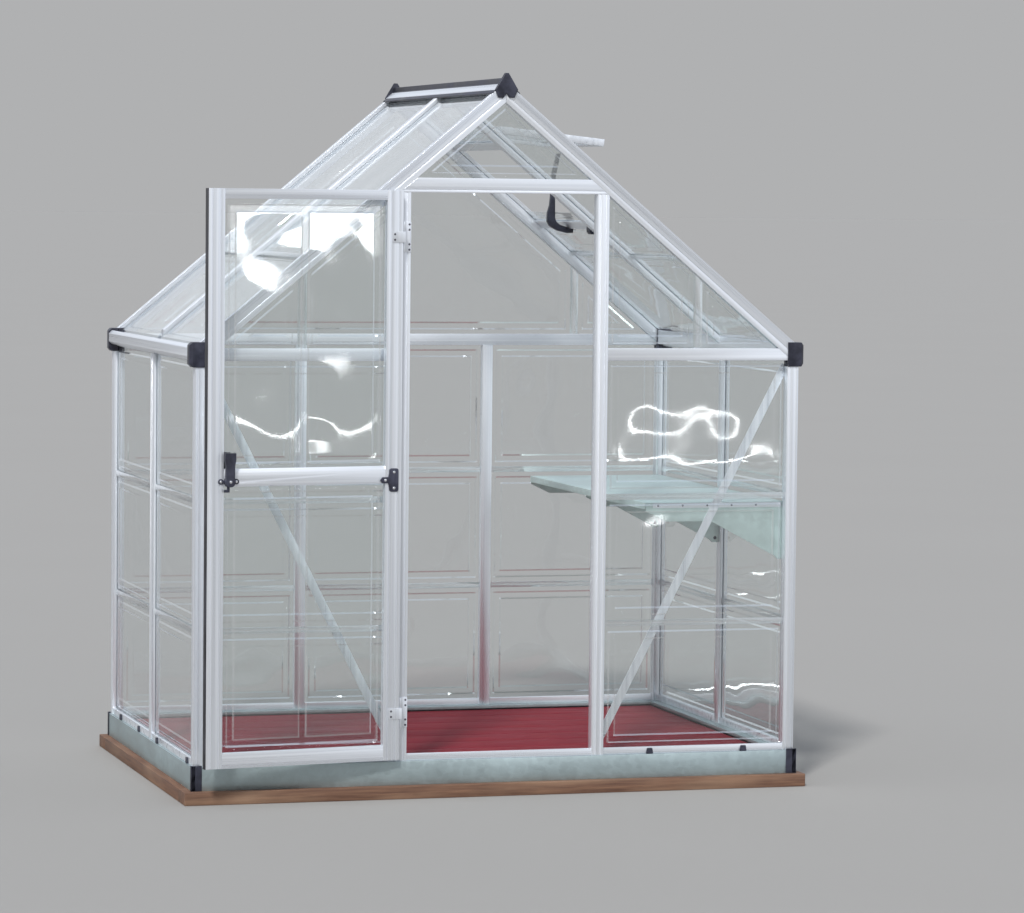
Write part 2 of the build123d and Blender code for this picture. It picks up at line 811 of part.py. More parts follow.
with BuildPart() as left_wall_panels:
    for low, high in side_bays:
        for (low_z, row_top), high_z in zip(row_levels, side_row_tops):
            sheet_in_y(low - sheet_entry, high + sheet_entry, low_z, high_z, -1)

with BuildPart() as right_wall_panels:
    mirror(left_wall_panels.part, about=Plane.YZ)


# Clear sheets of the gables, cut to the slope inside the rafters' slots
def gable_sheet_outline(low):
    """Draw the gable outline that reaches up into the rafters' slots."""
    top = apex_height - rafter_drop + sheet_entry / cos(slope)
    reach = (top - low) / tan(slope)
    with BuildLine() as outline:
        Polyline((-reach, low), (0, top), (reach, low), close=True)
    make_face(outline.edges())


gable_low = eave_rail_top - sheet_entry
gable_split = (post_inner_x + jamb_outer) / 2
gable_half = gable_joiner_width / 2
with BuildPart() as front_gable_panels:
    with BuildSketch(Plane.XZ.offset(half_depth - sheet_inset - sheet)):
        gable_sheet_outline(gable_low)
        with Locations((0, gable_low)):
            Rectangle(2 * (jamb_outer - sheet_entry), 2 * (lintel_bottom - gable_low), mode=Mode.SUBTRACT)
        with Locations((0, lintel_bottom)):
            Rectangle(
                4 * jamb_outer, lintel_height - sheet_entry,
                align=(Align.CENTER, Align.MIN), mode=Mode.SUBTRACT,
            )
        for side in (-1, 1):
            with Locations((side * gable_split, gable_low)):
                Rectangle(
                    gable_joiner_width - 2 * sheet_entry, base_depth,
                    align=(Align.CENTER, Align.MIN), mode=Mode.SUBTRACT,
                )
    extrude(amount=sheet)

with BuildPart() as back_gable_panels:
    with BuildSketch(Plane.XZ.offset(-(half_depth - sheet_inset))):
        gable_sheet_outline(gable_low)
        for side in (-1, 1):
            with Locations((side * gable_split, gable_low)):
                Rectangle(
                    gable_joiner_width - 2 * sheet_entry, base_depth,
                    align=(Align.CENTER, Align.MIN), mode=Mode.SUBTRACT,
                )
    extrude(amount=sheet)


def gable_joiner(side):
    """Stand the pair of clear upright joiners over the eave rail of one gable."""
    with BuildSketch(Plane.XY.offset(eave_rail_top)) as profile:
        for x in (-gable_split, gable_split):
            with Locations((x, side * sheet_y)):
                Rectangle(gable_joiner_width, joiner_depth)
            for offset in (-1, 1):
                slot(x + offset * (gable_half - slot_depth / 2), side * sheet_y, slot_depth, slot_width)
    extrude(profile.sketch, amount=base_depth)


with BuildPart() as gable_joiners:
    gable_joiner(-1)
    gable_joiner(1)
    with BuildSketch(Plane.XZ.offset(half_depth)):
        gable_inside(0)
    extrude(amount=-2 * half_depth, mode=Mode.INTERSECT)


# Clear sheets of the roof, and the bar that joins the upper and lower ones
sheet_bed = right_slope_face.offset(-(sheet_inset + sheet))
roof_bays = ((-ridge_half_length, -mid_rafter_width / 2), (mid_rafter_width / 2, ridge_half_length))
roof_joiner_at = down_slope(roof_joiner_run, slot_centre)
roof_top_at = down_slope(ridge_beam_width / 2 - sheet_entry, slot_centre)
roof_low_at = down_slope(gutter_outer - gutter_width / 2, slot_centre)


def roof_sheet(low_y, high_y, top_at, low_at):
    """Lay a sheet in the right slope between two distances down the slope."""
    middle = ((low_y + high_y) / 2, -(top_at + low_at) / 2)
    width = high_y - low_y + 2 * sheet_entry
    with BuildSketch(sheet_bed) as profile:
        with Locations(middle):
            Rectangle(width, low_at - top_at)
    extrude(profile.sketch, amount=sheet)
    if low_at - top_at > 3 * (ridge_inset + ridge_width):
        with BuildSketch(sheet_bed.offset(sheet)) as profile:
            with Locations(middle):
                formed_ridge(width, low_at - top_at)
        extrude(profile.sketch, amount=ridge_rise)


def notch_at_caps():
    """Cut the low corners of the right slope's sheets clear of the eave caps."""
    with Locations((post_inner_x - slot_play, 0, eave_cap_top)):
        with GridLocations(0, 2 * half_depth, 1, 2):
            Box(
                gutter_width, 2 * (post_width + slot_play), 2 * eave_cap_height,
                align=(Align.MIN, Align.CENTER, Align.CENTER), mode=Mode.SUBTRACT,
            )


upper_low_at = roof_joiner_at - joiner_half_gap
lower_top_at = roof_joiner_at + joiner_half_gap
vent_top_at = down_slope(vent_top_run, slot_centre)
vent_bottom_at = down_slope(vent_bottom_run, slot_centre)
vent_sill_at = down_slope(vent_sill_run, slot_centre)
upper_bar_at = vent_top_at + vent_bar / 2
sill_bar_at = vent_sill_at - vent_bar / 2

with BuildPart() as left_side_sheets:
    for low, high in roof_bays:
        roof_sheet(low, high, roof_top_at, upper_low_at)
        roof_sheet(low, high, lower_top_at, roof_low_at)
    notch_at_caps()

with BuildPart() as left_roof_panels:
    mirror(left_side_sheets.part, about=Plane.YZ)

with BuildPart() as right_roof_panels:
    front_low, front_high = roof_bays[0]
    back_low, back_high = roof_bays[1]
    roof_sheet(front_low, front_high, roof_top_at, upper_low_at)
    roof_sheet(front_low, front_high, lower_top_at, roof_low_at)
    roof_sheet(back_low, back_high, roof_top_at, vent_top_at + sheet_entry)
    roof_sheet(back_low, back_high, vent_bottom_at, vent_sill_at - vent_bar + sheet_entry)
    roof_sheet(back_low, back_high, vent_sill_at - sheet_entry, upper_low_at)
    roof_sheet(back_low, back_high, lower_top_at, roof_low_at)
    notch_at_caps()

joiner_bed = right_slope_face.offset(-(slot_centre + joiner_depth / 2))


def roof_bar(low_y, high_y, at, height):
    """Lay a bar across a bay of the right slope, slotted above and below."""
    with BuildSketch(joiner_bed) as profile:
        with Locations(((low_y + high_y) / 2, -at)):
            Rectangle(high_y - low_y, height)
    extrude(profile.sketch, amount=joiner_depth)
    with BuildSketch(sheet_bed.offset(-slot_play)) as profile:
        for offset in (-1, 1):
            with Locations(((low_y + high_y) / 2, -at + offset * (height - slot_depth) / 2)):
                Rectangle(high_y - low_y, slot_depth)
    extrude(profile.sketch, amount=slot_width, mode=Mode.SUBTRACT)


with BuildPart() as right_roof_joiners:
    for low, high in roof_bays:
        roof_bar(low, high, roof_joiner_at, joiner_height)

with BuildPart() as left_roof_joiners:
    mirror(right_roof_joiners.part, about=Plane.YZ)

# Bars over and under the vent's opening, and the vent that stands open above it.
# A strip of clear sheet rises from the sill bar to where the vent closes.
with BuildPart() as vent_surround:
    roof_bar(back_low, back_high, upper_bar_at, vent_bar)
    roof_bar(back_low, back_high, sill_bar_at, vent_bar)

vent_length = vent_bottom_at - vent_top_at
vent_width = back_high - back_low - 2 * vent_side_gap
vent_mid_y = (back_low + back_high) / 2
tilt = radians(vent_tilt)
vent_hinge = (vent_top_run, vent_mid_y, roof_height(vent_top_run) + vent_side_gap)
vent_face = Plane(origin=vent_hinge, x_dir=(0, 1, 0), z_dir=(sin(tilt), 0, cos(tilt)))

with BuildPart() as vent_frame:
    with BuildSketch(vent_face):
        with Locations((0, -vent_length / 2)):
            Rectangle(vent_width, vent_length)
            Rectangle(vent_width - 2 * vent_bar, vent_length - 2 * vent_bar, mode=Mode.SUBTRACT)
    extrude(amount=vent_depth)
    with BuildSketch(vent_face.offset(sheet_inset - slot_play)):
        with Locations((0, -vent_length / 2)):
            Rectangle(vent_width - 2 * (vent_bar - slot_depth), vent_length - 2 * (vent_bar - slot_depth))
    extrude(amount=slot_width, mode=Mode.SUBTRACT)

vent_sheet_width = vent_width - 2 * (vent_bar - sheet_entry)
vent_sheet_length = vent_length - 2 * (vent_bar - sheet_entry)
with BuildPart() as vent_panel:
    with BuildSketch(vent_face.offset(sheet_inset)):
        with Locations((0, -vent_length / 2)):
            Rectangle(vent_sheet_width, vent_sheet_length)
    extrude(amount=sheet)
    with BuildSketch(vent_face.offset(sheet_inset + sheet)):
        with Locations((0, -vent_length / 2)):
            formed_ridge(vent_sheet_width, vent_sheet_length)
    extrude(amount=ridge_rise)


def vent_point(run, drop):
    """Point (x, z) at a run from the vent's upper edge and a drop under the vent."""
    x = vent_hinge[0] + run * cos(tilt) - drop * sin(tilt)
    return (x, vent_hinge[2] - run * sin(tilt) - drop * cos(tilt))


# Strip that the vent hangs on, standing on the upper bar of its surround
strip_foot_at = vent_top_at + vent_hinge_width / 2
strip_depth = slot_centre - joiner_depth / 2
with BuildPart() as vent_hinge_strip:
    with BuildSketch(Plane.XZ.offset(-(vent_mid_y - vent_width / 2))):
        with BuildLine():
            Polyline(
                slope_point(strip_foot_at, strip_depth),
                slope_point(strip_foot_at + vent_hinge_width, strip_depth),
                vent_point(vent_hinge_width, 0),
                vent_point(0, 0),
                close=True,
            )
        make_face()
    extrude(amount=-vent_width)

# The vent's stay: a bent black arm from under the sill bar to the vent's lower bar
stay_depth = slot_centre + (joiner_depth + stay_sheet) / 2
stay_foot_x, stay_foot_z = slope_point(sill_bar_at, stay_depth)
stay_knee_x, stay_knee_z = slope_point(sill_bar_at - stay_reach, stay_depth)
stay_head_x, stay_head_z = vent_point(vent_length - vent_bar / 2, stay_sheet / 2)
with BuildPart() as vent_stay:
    with BuildSketch(Plane.XZ.offset(-(vent_mid_y - stay_width / 2))):
        with BuildLine():
            FilletPolyline(
                (stay_foot_x, stay_foot_z),
                (stay_knee_x, stay_knee_z),
                (stay_knee_x, stay_head_z - stay_crook),
                (stay_head_x - stay_lap * cos(tilt), stay_head_z + stay_lap * sin(tilt)),
                (stay_head_x, stay_head_z),
                radius=stay_bend,
            )
        trace(line_width=stay_sheet)
    extrude(amount=-stay_width)

# Diagonal straps behind the front sheets, from the corner posts to the jambs
brace_head_x = post_inner_x + brace_lap
brace_foot_x = jamb_outer - brace_lap
with BuildPart() as right_brace:
    with BuildSketch(Plane.XZ.offset(post_inner_y - brace_sheet)):
        with BuildLine():
            Line(
                (brace_head_x, eave_rail_bottom - brace_head_drop),
                (brace_foot_x, base_top + brace_foot_rise),
            )
        trace(line_width=brace_width)
    extrude(amount=brace_sheet)

with BuildPart() as diagonal_braces:
    add(right_brace.part)
    mirror(right_brace.part, about=Plane.YZ)

# Galvanised shelf along the right wall, on three tapered brackets: against the
# strap in front, against the side post and against the back corner post.
shelf_outer = half_width - wall_post_depth
shelf_inner = shelf_outer - shelf_depth
bracket_front_y = -post_inner_y + brace_sheet
shelf_half = -bracket_front_y - shelf_end_gap
with BuildPart() as shelf:
    with BuildSketch(Plane.XZ.offset(shelf_half)):
        with Locations(((shelf_inner + shelf_outer) / 2, shelf_level - shelf_sheet / 2)):
            Rectangle(shelf_depth, shelf_sheet)
        with Locations((shelf_inner + shelf_sheet / 2, shelf_level - shelf_lip / 2)):
            Rectangle(shelf_sheet, shelf_lip)
    extrude(amount=-2 * shelf_half)


def shelf_bracket(y, flange_side):
    """Hang a tapered plate under the shelf, with a flange against the tray."""
    top = shelf_level - shelf_sheet
    low_x = shelf_inner + shelf_sheet + slot_play
    high_x = shelf_outer
    with BuildSketch(Plane.XZ.offset(-y)) as profile:
        with BuildLine():
            Polyline(
                (low_x, top),
                (high_x, top),
                (high_x, top - bracket_drop),
                (high_x - bracket_tip, top - bracket_drop),
                (low_x + bracket_tip, top - bracket_tip - shelf_lip),
                (low_x, top - bracket_tip),
                close=True,
            )
        make_face()
    extrude(profile.sketch, amount=-bracket_sheet)
    with BuildSketch(Plane.XY.offset(top - bracket_sheet)) as profile:
        with Locations(((low_x + high_x) / 2, y + bracket_sheet / 2 + flange_side * bracket_flange / 2)):
            Rectangle(high_x - low_x, bracket_flange)
    extrude(profile.sketch, amount=bracket_sheet)


with BuildPart() as shelf_brackets:
    shelf_bracket(bracket_front_y, 1)
    shelf_bracket(-bracket_sheet / 2, 1)
    shelf_bracket(post_inner_y - bracket_sheet, -1)


# Door leaf. It is drawn in place, swung open about the line of its hinges.
swing = radians(-open_angle)
along = (cos(swing), sin(swing), 0)
outward = (sin(swing), -cos(swing), 0)
inward = (-sin(swing), cos(swing), 0)
leaf_face = Plane(origin=(hinge_x, hinge_y, 0), x_dir=along, z_dir=outward)
leaf_plan = Plane(origin=(hinge_x, hinge_y, leaf_bottom), x_dir=along, z_dir=(0, 0, 1))
leaf_section = Plane(origin=(hinge_x, hinge_y, 0), x_dir=inward, z_dir=along)

with BuildPart() as door_stiles:
    with BuildSketch(leaf_plan):
        for low, inner in ((leaf_start, 1), (leaf_length - stile_width, -1)):
            middle = low + stile_width / 2
            with Locations((middle, 0)):
                Rectangle(stile_width, leaf_thickness)
            slot(middle + inner * (stile_width - slot_depth) / 2, 0, slot_depth, slot_width)
            for face in (-1, 1):
                for part_way in (-1, 1):
                    groove_x = middle + part_way * stile_width / 4
                    slot(groove_x, face * (leaf_thickness - groove_depth) / 2, groove_width, groove_depth)
    extrude(amount=leaf_top - leaf_bottom)

half_leaf = leaf_thickness / 2
mid_rail_top = mid_rail_bottom + mid_rail_height

rail_start = leaf_start + stile_width
rail_length = leaf_length - stile_width - rail_start
with BuildPart() as door_rails:
    with BuildSketch(leaf_section.offset(rail_start)):
        with Locations((0, leaf_top - top_rail_height / 2)):
            Rectangle(leaf_thickness, top_rail_height)
        with Locations((0, leaf_bottom + bottom_rail_leaf / 2)):
            Rectangle(leaf_thickness, bottom_rail_leaf)
        with BuildLine():
            Polyline(
                (-half_leaf, mid_rail_bottom),
                (half_leaf, mid_rail_bottom),
                (half_leaf, mid_rail_top - mid_rail_slant),
                (half_leaf - mid_rail_lean, mid_rail_top),
                (mid_rail_lean - half_leaf, mid_rail_top),
                (-half_leaf, mid_rail_top - mid_rail_slant),
                close=True,
            )
        make_face()
        slot(0, leaf_top - top_rail_height + slot_depth / 2, slot_width, slot_depth)
        slot(0, leaf_bottom + bottom_rail_leaf - slot_depth / 2, slot_width, slot_depth)
        slot(0, mid_rail_bottom + slot_depth / 2, slot_width, slot_depth)
        slot(0, mid_rail_top - slot_depth / 2, slot_width, slot_depth)
    extrude(amount=rail_length)
    with BuildSketch(leaf_face.offset(-leaf_thickness)):
        with Locations((handle_run, handle_level)):
            Circle(spindle_diameter / 2 + spindle_play)
    extrude(amount=2 * leaf_thickness, mode=Mode.SUBTRACT)

pane_heights = (
    (leaf_bottom + bottom_rail_leaf - sheet_entry, mid_rail_bottom + sheet_entry),
    (mid_rail_top - sheet_entry, leaf_top - top_rail_height + sheet_entry),
)
pane_width = rail_length + 2 * sheet_entry
with BuildPart() as door_panels:
    with BuildSketch(leaf_face.offset(-sheet / 2)):
        for low, high in pane_heights:
            with Locations((rail_start + rail_length / 2, (low + high) / 2)):
                Rectangle(pane_width, high - low)
    extrude(amount=sheet)
    with BuildSketch(leaf_face.offset(sheet / 2)):
        for low, high in pane_heights:
            with Locations((rail_start + rail_length / 2, (low + high) / 2)):
                formed_ridge(pane_width, high - low)
                Rectangle(pane_rib_width, high - low - 2 * ridge_inset)
    extrude(amount=ridge_rise)

with BuildPart() as door_seal:
    with BuildSketch(leaf_plan):
        with Locations((leaf_length + seal_proud / 2, 0)):
            Rectangle(seal_proud, leaf_thickness)
    extrude(amount=leaf_top - leaf_bottom)

# Hinges on the door: a plate on the leaf's inner face, folded out to a knuckle
with BuildPart() as door_hinges:
    for level in hinge_levels:
        low = level - knuckle_height / 2
        with BuildSketch(Plane(origin=(hinge_x, hinge_y, low), x_dir=along, z_dir=(0, 0, 1))):
            Circle(knuckle_diameter / 2)
            with Locations((-hinge_web / 2, half_leaf)):
                Rectangle(leaf_plate_width, hinge_sheet, align=(Align.MIN, Align.MIN))
            Rectangle(hinge_web, half_leaf + hinge_sheet, align=(Align.CENTER, Align.MIN))
            Circle(hinge_pin / 2 + pin_play, mode=Mode.SUBTRACT)
        extrude(amount=knuckle_height)

# Hinges on the jamb: a plate with a lug over and under each knuckle, and the pin
plate_left = hinge_x - hinge_web / 2
lug_height = (hinge_plate_height - knuckle_height) / 2 - knuckle_play
with BuildPart() as jamb_hinge_plates:
    for level in hinge_levels:
        low = level - hinge_plate_height / 2
        with BuildSketch(Plane.XY.offset(low)):
            with Locations((plate_left, -half_depth)):
                Rectangle(hinge_plate_width, hinge_sheet, align=(Align.MIN, Align.MAX))
        extrude(amount=hinge_plate_height)
        for lug_low in (low, low + hinge_plate_height - lug_height):
            with BuildSketch(Plane.XY.offset(lug_low)):
                with Locations((hinge_x, hinge_y)):
                    Circle(knuckle_diameter / 2)
                    Rectangle(hinge_web, -half_depth - hinge_y, align=(Align.CENTER, Align.MIN))
            extrude(amount=lug_height)
        with BuildSketch(Plane.XY.offset(low)):
            with Locations((hinge_x, hinge_y)):
                Circle(hinge_pin / 2)
        extrude(amount=hinge_plate_height)

# Black fittings on the leaf: a plate with two eyes under the handle on each
# face, and a connector that ties the middle rail to the stile by the hinges
handle_plane = Plane(
    origin=leaf_face.from_local_coords((handle_run, handle_level, 0)), x_dir=along, z_dir=outward
)
connector_level = mid_rail_middle - connector_drop
connector_edge = connector_run + connector_width / 2
connector_eye_run = connector_reach - connector_eye_back
with BuildPart() as door_fittings:
    for start in (-half_leaf - fitting_sheet, half_leaf):
        with BuildSketch(handle_plane.offset(start)):
            Rectangle(2 * eye_spread, eye_radius)
            Circle(handle_boss)
            with Locations((-eye_spread, 0), (eye_spread, 0)):
                Circle(eye_radius)
                Circle(rivet_hole, mode=Mode.SUBTRACT)
            Circle(spindle_diameter / 2 + spindle_play, mode=Mode.SUBTRACT)
        extrude(amount=fitting_sheet)
    with BuildSketch(leaf_face.offset(-half_leaf - fitting_sheet)):
        with Locations((connector_run, connector_level)):
            RectangleRounded(connector_width, connector_height, connector_width / 4)
        with BuildLine():
            Polyline(
                (connector_edge, connector_level + connector_root),
                (connector_eye_run - connector_nose, connector_level + connector_nose),
                (connector_eye_run + connector_nose, connector_level + connector_nose),
                (connector_reach, connector_level),
                (connector_eye_run + connector_nose, connector_level - connector_nose),
                (connector_eye_run - connector_nose, connector_level - connector_nose),
                (connector_edge, connector_level - connector_root),
                close=True,
            )
        make_face()
        with Locations(
            (connector_run, connector_level + connector_eye_spread),
            (connector_run, connector_level - connector_eye_spread),
            (connector_eye_run, connector_level),
        ):
            Circle(rivet_hole, mode=Mode.SUBTRACT)
    extrude(amount=fitting_sheet)

# Turning handle: a waisted grip on each face of the leaf, joined by a spindle,
# with a latch hook on the inner one
grip_start = half_leaf + handle_standoff
with BuildPart() as door_handle:
    with BuildSketch(handle_plane.offset(-grip_start - handle_thickness)):
        Circle(spindle_diameter / 2)
    extrude(amount=2 * (grip_start + handle_thickness))
    for start in (-grip_start - handle_thickness, grip_start):
        with BuildSketch(handle_plane.offset(start)):
            Circle(handle_boss)
            with BuildLine():
                Polyline(
                    (-handle_waist / 2, 0),
                    (handle_waist / 2, 0),
                    (handle_waist / 2, handle_neck),
                    (handle_width / 2, handle_shoulder),
                    (handle_width / 2, handle_grip),
                    (-handle_width / 2, handle_grip),
                    (-handle_width / 2, handle_shoulder),
                    (-handle_waist / 2, handle_neck),
                    close=True,
                )
            make_face()
        extrude(amount=handle_thickness)
    with BuildSketch(handle_plane.offset(-grip_start - fitting_sheet)):
        with BuildLine():
            Polyline(
                (0, 0),
                (latch_width, 0),
                (latch_width, latch_width - latch_drop),
                (latch_reach, latch_width - latch_drop),
                (latch_reach, -latch_drop),
                (0, -latch_drop),
                close=True,
            )
        make_face()
    extrude(amount=fitting_sheet)

nodes = {
    "timber_sill_ends": timber_sill_ends,
    "timber_sill_sides": timber_sill_sides,
    "floor_bearers": floor_bearers,
    "floor_boards": floor_boards,
    "base_ends": base_ends,
    "base_sides": base_sides,
    "base_corner_caps": base_corner_caps,
    "corner_posts": corner_posts,
    "side_posts": side_posts,
    "back_posts": back_posts,
    "door_jambs": door_jambs,
    "lintel": lintel,
    "eave_rails": eave_rails,
    "bottom_rails": bottom_rails,
    "front_joiners": front_joiners,
    "back_joiners": back_joiners,
    "left_joiners": left_joiners,
    "right_joiners": right_joiners,
    "gutter_left": gutter_left,
    "gutter_right": gutter_right,
    "eave_corner_caps": eave_corner_caps,
    "front_rafters": front_rafters,
    "back_rafters": back_rafters,
    "mid_rafters": mid_rafters,
    "ridge_beam": ridge_beam,
    "ridge_cover": ridge_cover,
    "ridge_end_caps": ridge_end_caps,
    "front_wall_panels": front_wall_panels,
    "back_wall_panels": back_wall_panels,
    "left_wall_panels": left_wall_panels,
    "right_wall_panels": right_wall_panels,
    "front_gable_panels": front_gable_panels,
    "back_gable_panels": back_gable_panels,
    "gable_joiners": gable_joiners,
    "left_roof_panels": left_roof_panels,
    "right_roof_panels": right_roof_panels,
    "left_roof_joiners": left_roof_joiners,
    "right_roof_joiners": right_roof_joiners,
    "vent_surround": vent_surround,
    "vent_hinge_strip": vent_hinge_strip,
    "vent_frame": vent_frame,
    "vent_panel": vent_panel,
    "vent_stay": vent_stay,
    "diagonal_braces": diagonal_braces,
    "shelf": shelf,
    "shelf_brackets": shelf_brackets,
    "jamb_hinge_plates": jamb_hinge_plates,
    "door_stiles": door_stiles,
    "door_rails": door_rails,
    "door_panels": door_panels,
    "door_seal": door_seal,
    "door_hinges": door_hinges,
    "door_fittings": door_fittings,
    "door_handle": door_handle,
}

for name, piece in nodes.items():
    piece.part.label = name
    export_step(piece.part, f"parts/{name}.step")
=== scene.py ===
"""A clear-sheet garden greenhouse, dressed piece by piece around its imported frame."""

import json
from math import cos, radians, sin, tan

import bmesh
import bpy
from mathutils import Matrix, Vector, noise

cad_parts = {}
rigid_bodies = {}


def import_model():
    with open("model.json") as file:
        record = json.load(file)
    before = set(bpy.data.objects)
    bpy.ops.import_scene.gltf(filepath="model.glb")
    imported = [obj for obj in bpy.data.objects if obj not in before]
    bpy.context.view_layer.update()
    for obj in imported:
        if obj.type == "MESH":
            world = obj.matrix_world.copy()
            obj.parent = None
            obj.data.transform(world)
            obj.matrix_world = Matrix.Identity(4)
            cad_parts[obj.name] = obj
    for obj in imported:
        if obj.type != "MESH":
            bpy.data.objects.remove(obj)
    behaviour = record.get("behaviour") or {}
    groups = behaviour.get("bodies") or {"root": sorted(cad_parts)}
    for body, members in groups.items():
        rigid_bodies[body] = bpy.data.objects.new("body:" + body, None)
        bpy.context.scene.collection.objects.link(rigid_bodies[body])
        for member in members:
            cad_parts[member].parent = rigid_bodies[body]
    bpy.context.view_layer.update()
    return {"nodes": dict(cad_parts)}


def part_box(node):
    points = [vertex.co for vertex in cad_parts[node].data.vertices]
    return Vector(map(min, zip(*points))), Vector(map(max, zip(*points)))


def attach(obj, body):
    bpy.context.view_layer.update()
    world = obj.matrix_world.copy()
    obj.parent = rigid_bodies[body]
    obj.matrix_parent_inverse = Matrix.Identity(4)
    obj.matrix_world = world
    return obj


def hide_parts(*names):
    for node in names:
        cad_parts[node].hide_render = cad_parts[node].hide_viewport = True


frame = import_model()
mm = 0.001

# Camera: where the photographer stood, a little above head height and to the
# left of the open door, with a long lens.
lens_pixels = 4093.4
picture_width = 1024
sensor_width = 36.0
camera_place = Vector((-3.3468, -12.1012, 1.7480))
yaw, pitch, roll = radians(16.4), radians(3.6), radians(-0.6)

forward = Vector((sin(yaw) * cos(pitch), cos(yaw) * cos(pitch), -sin(pitch)))
level_right = Vector((cos(yaw), -sin(yaw), 0.0))
level_up = level_right.cross(forward)
camera_right = level_right * cos(roll) - level_up * sin(roll)
camera_up = level_right * sin(roll) + level_up * cos(roll)
camera_data = bpy.data.cameras.new("camera")
camera_data.lens = lens_pixels / picture_width * sensor_width
camera_data.sensor_width = sensor_width
camera_data.clip_end = 900.0
camera = bpy.data.objects.new("camera", camera_data)
camera_turn = Matrix((camera_right, camera_up, -forward)).transposed().to_4x4()
camera.matrix_world = Matrix.Translation(camera_place) @ camera_turn
bpy.context.scene.collection.objects.link(camera)
bpy.context.scene.camera = camera
bpy.context.scene.view_settings.view_transform = "Standard"


# Studio: a plain pale floor, a soft surround that is brighter above the
# horizon, one broad sun, and softboxes that give the sheets their glints.
class Wire:
    """A socket of a node tree, with Python's arithmetic written as Math nodes."""

    def __init__(self, tree, socket):
        self.tree, self.socket = tree, socket

    def maths(self, operation, *terms):
        made = self.tree.nodes.new("ShaderNodeMath")
        made.operation = operation
        for place, term in enumerate(terms):
            if isinstance(term, Wire):
                self.tree.links.new(term.socket, made.inputs[place])
            else:
                made.inputs[place].default_value = term
        return Wire(self.tree, made.outputs[0])

    def __add__(self, other):
        return self.maths("ADD", self, other)

    def __sub__(self, other):
        return self.maths("SUBTRACT", self, other)

    def __mul__(self, other):
        return self.maths("MULTIPLY", self, other)

    def __rsub__(self, other):
        return self.maths("SUBTRACT", other, self)

    def __pow__(self, other):
        return self.maths("POWER", self, other)

    def __abs__(self):
        return self.maths("ABSOLUTE", self)

    __radd__ = __add__
    __rmul__ = __mul__

    def clamp(self, low=0.0, high=1.0):
        return self.maths("MINIMUM", self.maths("MAXIMUM", self, low), high)


class Graph:
    """A node tree being built, with one way to add any node."""

    prefix = "ShaderNode"

    def __init__(self, tree):
        self.tree = tree

    def node(self, kind, settings=None, sockets=None, output=0):
        """Add a node: its settings first, then the values or wires of its sockets."""
        made = self.tree.nodes.new(kind if "Node" in kind else self.prefix + kind)
        for key, value in (settings or {}).items():
            if key == "stops":
                ramp = made.color_ramp.elements
                while len(ramp) < len(value):
                    ramp.new(0.5)
                for stop, (place, colour) in zip(ramp, value):
                    stop.position, stop.color = place, colour
            else:
                setattr(made, key, value)
        for key, value in (sockets or {}).items():
            if isinstance(value, Wire):
                self.tree.links.new(value.socket, made.inputs[key])
            else:
                made.inputs[key].default_value = value
        return Wire(self.tree, made.outputs[output])


class Finish(Graph):
    """A surface finish being mixed: a material and the tree under it."""

    def __init__(self, name):
        self.material = bpy.data.materials.new(name)
        self.material.use_nodes = True
        super().__init__(self.material.node_tree)
        self.tree.nodes.clear()

    def place(self, scale=(1.0, 1.0, 1.0), turn=0.0):
        """Object coordinates, turned about the vertical and then scaled for a pattern."""
        where = self.node("TexCoord", output="Object")
        if turn:
            where = self.node("Mapping", None, {"Vector": where, "Rotation": (0.0, 0.0, turn)})
        return self.node("Mapping", None, {"Vector": where, "Scale": scale})

    def noise(self, vector, scale, detail=2.0, roughness=0.5):
        """Noise, with its narrow middle range drawn out to the whole of 0 to 1."""
        sockets = {"Vector": vector, "Scale": scale, "Detail": detail, "Roughness": roughness}
        return (self.node("TexNoise", None, sockets, "Fac") * 2.4 - 0.7).clamp()

    def blend(self, share, first, second):
        """Mix two colours by a share."""
        return self.node("Mix", {"data_type": "RGBA"}, {"Factor": share, 6: first, 7: second}, 2)

    def bump(self, height, strength, distance):
        return self.node("Bump", None, {"Height": height, "Strength": strength, "Distance": distance})

    def surface(self, sockets):
        """Finish the tree with one shader, and give back the material."""
        return self.show(self.node("BsdfPrincipled", None, sockets))

    def show(self, shader):
        end = self.tree.nodes.new("ShaderNodeOutputMaterial")
        self.tree.links.new(shader.socket, end.inputs["Surface"])
        return self.material


floor_reach = 400.0
floor_finish = Finish("studio_floor")
floor_cloud = floor_finish.noise(floor_finish.place(), 0.6)
floor_tone = floor_finish.blend(floor_cloud, (0.291, 0.279, 0.262, 1.0), (0.295, 0.283, 0.266, 1.0))
floor_mesh = bpy.data.meshes.new("studio_floor")
floor_corners = [(x, y, 0.0) for x, y in ((-1, -1), (1, -1), (1, 1), (-1, 1))]
floor_mesh.from_pydata([tuple(c * floor_reach for c in corner) for corner in floor_corners], [], [(0, 1, 2, 3)])
floor_mesh.materials.append(floor_finish.surface({"Base Color": floor_tone, "Roughness": 0.9}))
studio_floor = bpy.data.objects.new("studio_floor", floor_mesh)
bpy.context.scene.collection.objects.link(studio_floor)

surround = bpy.data.worlds.new("surround")
surround.use_nodes = True
surround_graph = Graph(surround.node_tree)
surround_way = surround_graph.node("TexCoord", output="Generated")
surround_height = surround_graph.node("SeparateXYZ", None, {0: surround_way}, "Z")
surround_glow = surround_graph.node("ValToRGB", {"stops": (
    (0.0, (0.435, 0.439, 0.445, 1.0)),
    (0.052, (0.435, 0.439, 0.445, 1.0)),
    (0.20, (0.82, 0.85, 0.90, 1.0)),
    (0.60, (0.70, 0.76, 0.86, 1.0)),
    (1.0, (0.42, 0.48, 0.58, 1.0)),
)}, {"Fac": surround_height})
surround.node_tree.links.new(surround_glow.socket, surround.node_tree.nodes["Background"].inputs["Color"])
bpy.context.scene.world = surround
glinting = {}


